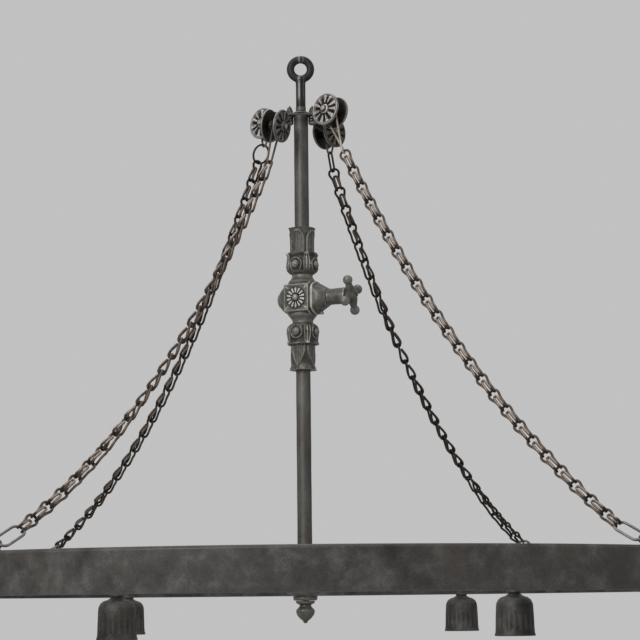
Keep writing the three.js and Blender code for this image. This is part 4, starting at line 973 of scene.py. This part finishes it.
def add_chain(corner, level, start, end, material, samples=400):
    """The links between two points, along the curve of a hanging chain."""
    catenary, twist = corner["catenary"], corner["twist"]
    span = math.hypot(end.x - start.x, end.y - start.y)
    slack = 2 * catenary * math.sinh(span / 2 / catenary)
    lowest = span / 2 + catenary * math.asinh((start.z - end.z) / slack)

    def path(t):
        p = start.lerp(end, t)
        sag = math.cosh((t * span - lowest) / catenary) - math.cosh(lowest / catenary)
        p.z = start.z + catenary * sag
        return p

    curve = [path(i / samples) for i in range(samples + 1)]
    lengths = np.concatenate([[0], np.cumsum([(b - a).length for a, b in zip(curve, curve[1:])])])
    shares = np.linspace(0, 1, samples + 1)
    count = max(3, round(lengths[-1] / LINK_PITCH))
    crowns = [path(float(np.interp(lengths[-1] * i / count, lengths, shares))) for i in range(count + 1)]
    shake = np.random.default_rng(len(corner["name"]) + corner["angle"])
    links = []
    for i in range(count):
        along = crowns[i + 1] - crowns[i]
        pitch = along.length
        along.normalize()
        place = i / (count - 1) * (len(twist) - 1)
        k = min(int(place), len(twist) - 2)
        degrees = twist[k] + (twist[k + 1] - twist[k]) * (place - k) + shake.uniform(-4, 4)
        eye, fold = link_frame(level, along, degrees)
        reach = pitch + HOOK_REACH if i < count - 1 else pitch - LAST_SHORT
        links.append(folded_link(crowns[i], along, eye, fold, pitch, reach, corner["hook"]))
    piece(f"chain_{corner['name']}", merged(*links), material, sharp=80)


def add_run(corner):
    """Everything from the plate to the hoop at a corner: pulley, hanger, wire loop, chain and end link."""
    name = corner["name"]
    angle = math.radians(corner["angle"] + CORNER_TURN)
    outward = Vector((math.cos(angle), math.sin(angle), 0))
    level = UP.cross(outward)
    centre = outward * corner["pulley"][0] + UP * corner["pulley"][1]
    yaw, tilt = (math.radians(a) for a in corner["face"])
    facing = Vector((math.cos(yaw) * math.cos(tilt), math.sin(yaw) * math.cos(tilt), math.sin(tilt)))
    add_pulley(corner, centre, facing)
    add_hanger(corner, centre, facing)
    loop = centre + facing * ((GROOVE / 2 + DRUM_START) / 2)

    def fall(degrees):
        a = math.radians(degrees)
        down = outward * math.cos(a) - UP * math.sin(a)
        return (down - facing * down.dot(facing)).normalized()

    extra = corner.get("extra")
    down = fall(corner["lean"])
    eye, fold = link_frame(level, down, extra["twist"] if extra else corner["twist"][0])
    hook = LINK_WIRE + LOOP_WIRE + 2 * SEAT
    bottom = loop + down * (corner["loop_end"] - hook - LOOP_REACH)
    across = eye if extra else fold
    groove = facing.cross(down)
    side = math.copysign(1, groove.dot(across))
    lower = LOOP_REACH + LINK_WIRE + LOOP_WIRE + SEAT - 0.6
    path = arc(loop, -down, groove, LOOP_BEND) + arc(bottom, down, across * -side, lower)
    wire_loop = tube(path, LOOP_WIRE, 14)
    # The loop's lower part gets a painted highlight.
    wire_loop = marked(wire_loop, 0.7 * step(-16, -22, (wire_loop[0] - np.array(loop)) @ np.array(-down)))
    # Only the front right loop gets the lighter iron; the others get the darker rear chain iron as painted
    # shade.
    wire_iron = LOOP_IRON if name == "front_right" else REAR_CHAIN
    piece(f"wire_loop_{name}", wire_loop, wire_iron)
    if extra:
        hang = fall(extra["lean"])
        drop = corner["loop_end"] - 2 * LOOP_WIRE - 2 * SEAT
        top = loop + down * (drop + 0.4)
        foot = loop + down * drop + hang * (extra["length"] - 0.7)
        along = (foot - top).normalized()
        across = link_frame(level, hang, extra["twist"])[1]
        ends = top + along * extra["bend"], foot - along * extra["bend"]
        link = round_link(*ends, across, extra["bend"], LOOP_WIRE)
        piece(extra["name"], link, REAR_CHAIN)
        crown = foot - hang * (hook - 0.7)
    else:
        crown = loop + down * (corner["loop_end"] - hook)

    slope = math.radians(END_SLOPE)
    along = outward * math.cos(slope) - UP * math.sin(slope)
    across = link_frame(level, along, corner["end_twist"])[0]
    tip = outward * EYE_PLACE + UP * EYE_HEIGHT + along * (END_WIRE + EYE_WIRE + 2 * SEAT - EYE_RING)
    far = tip - along * END_HALF
    near = tip + along * (END_HALF + 2 * END_WIRE - END_LENGTH)
    link = round_link(near, far, across, END_HALF, END_WIRE)
    piece(f"end_link_{name}", link, BRIGHT_WIRE)
    end = near + along * (END_WIRE + LINK_WIRE + 2 * SEAT - END_HALF)
    # Rear chains get the darker copy of the chain iron as painted shade.
    chain_iron = FRONT_CHAIN if name.startswith("front") else REAR_CHAIN
    add_chain(corner, level, crown, end, chain_iron)


# Floor, light and camera

def add_floor(half=6, height=-1.05, pale_share=0.6):
    """Large plane below, which the camera sees mixed with the backdrop's tone."""
    mesh = bpy.data.meshes.new("floor")
    mesh.from_pydata([(-half, -half, height), (half, -half, height), (half, half, height),
                      (-half, half, height)], [], [(0, 1, 2, 3)])
    floor = added("floor", mesh)
    material = bpy.data.materials.new("floor")
    material.use_nodes = True
    tree = material.node_tree
    link = tree.links.new
    shader = tree.nodes["Principled BSDF"]
    shader.inputs["Base Color"].default_value = (0.6, 0.6, 0.595, 1)
    shader.inputs["Roughness"].default_value = 0.9
    pale = node_of(tree, "ShaderNodeEmission", in_Color=BACKDROP, in_Strength=1.0)
    path = tree.nodes.new("ShaderNodeLightPath")
    share = node_of(tree, "ShaderNodeMath", operation="MULTIPLY")
    share.inputs[1].default_value = pale_share
    blend = tree.nodes.new("ShaderNodeMixShader")
    link(path.outputs["Is Camera Ray"], share.inputs[0])
    link(share.outputs[0], blend.inputs[0])
    link(shader.outputs[0], blend.inputs[1])
    link(pale.outputs[0], blend.inputs[2])
    link(blend.outputs[0], tree.nodes["Material Output"].inputs[0])
    mesh.materials.append(material)


def add_world():
    """The backdrop's tone where it is seen or mirrored, and a dim white light for everything else."""
    world = bpy.data.worlds.new("world")
    bpy.context.scene.world = world
    world.use_nodes = True
    tree = world.node_tree
    link = tree.links.new
    tree.nodes.clear()
    out = tree.nodes.new("ShaderNodeOutputWorld")
    seen = node_of(tree, "ShaderNodeBackground", in_Color=BACKDROP, in_Strength=1.0)
    light = node_of(tree, "ShaderNodeBackground", in_Color=(1, 1, 1, 1), in_Strength=WORLD_LIGHT)
    path = tree.nodes.new("ShaderNodeLightPath")
    mix = tree.nodes.new("ShaderNodeMixShader")
    share = path.outputs["Is Camera Ray"]
    for ray in ("Is Glossy Ray", "Is Transmission Ray"):
        either = node_of(tree, "ShaderNodeMath", operation="MAXIMUM")
        link(share, either.inputs[0])
        link(path.outputs[ray], either.inputs[1])
        share = either.outputs[0]
    link(share, mix.inputs[0])
    link(light.outputs[0], mix.inputs[1])
    link(seen.outputs[0], mix.inputs[2])
    link(mix.outputs[0], out.inputs[0])


def add_lamps():
    """Area lamps, aimed at the middle of the piece."""
    for name, place, size, power in LAMPS:
        lamp = bpy.data.lights.new(name, "AREA")
        lamp.size = size
        lamp.energy = power
        obj = added(name, lamp)
        obj.location = place
        obj.rotation_euler = (LAMP_AIM - Vector(place)).to_track_quat("-Z", "Y").to_euler()


def add_camera():
    yaw, pitch, roll = (math.radians(a) for a in CAMERA_TURN)
    ahead = Vector((math.sin(yaw) * math.cos(pitch), math.cos(yaw) * math.cos(pitch), math.sin(pitch)))
    right = Vector((math.cos(yaw), -math.sin(yaw), 0))
    above = right.cross(ahead)
    turn = Matrix((right, above, -ahead)).transposed().to_4x4()
    data = bpy.data.cameras.new("camera")
    data.lens = CAMERA_LENS
    data.sensor_width = CAMERA_SENSOR
    camera = added("camera", data)
    camera.matrix_world = shift(*CAMERA_PLACE) @ turn @ Matrix.Rotation(roll, 4, "Z")
    bpy.context.scene.camera = camera


add_camera()
add_floor()
add_world()
add_lamps()
add_hanging_eye()
add_bush()
add_plate()
add_bolts()
add_stem()
add_cock_body()
add_cock_fittings()
add_handle()
add_hub_and_hoop()
for corner in CORNERS:
    add_corner(corner)
    add_run(corner)

bpy.context.scene.view_settings.view_transform = "Standard"
bpy.context.view_layer.update()
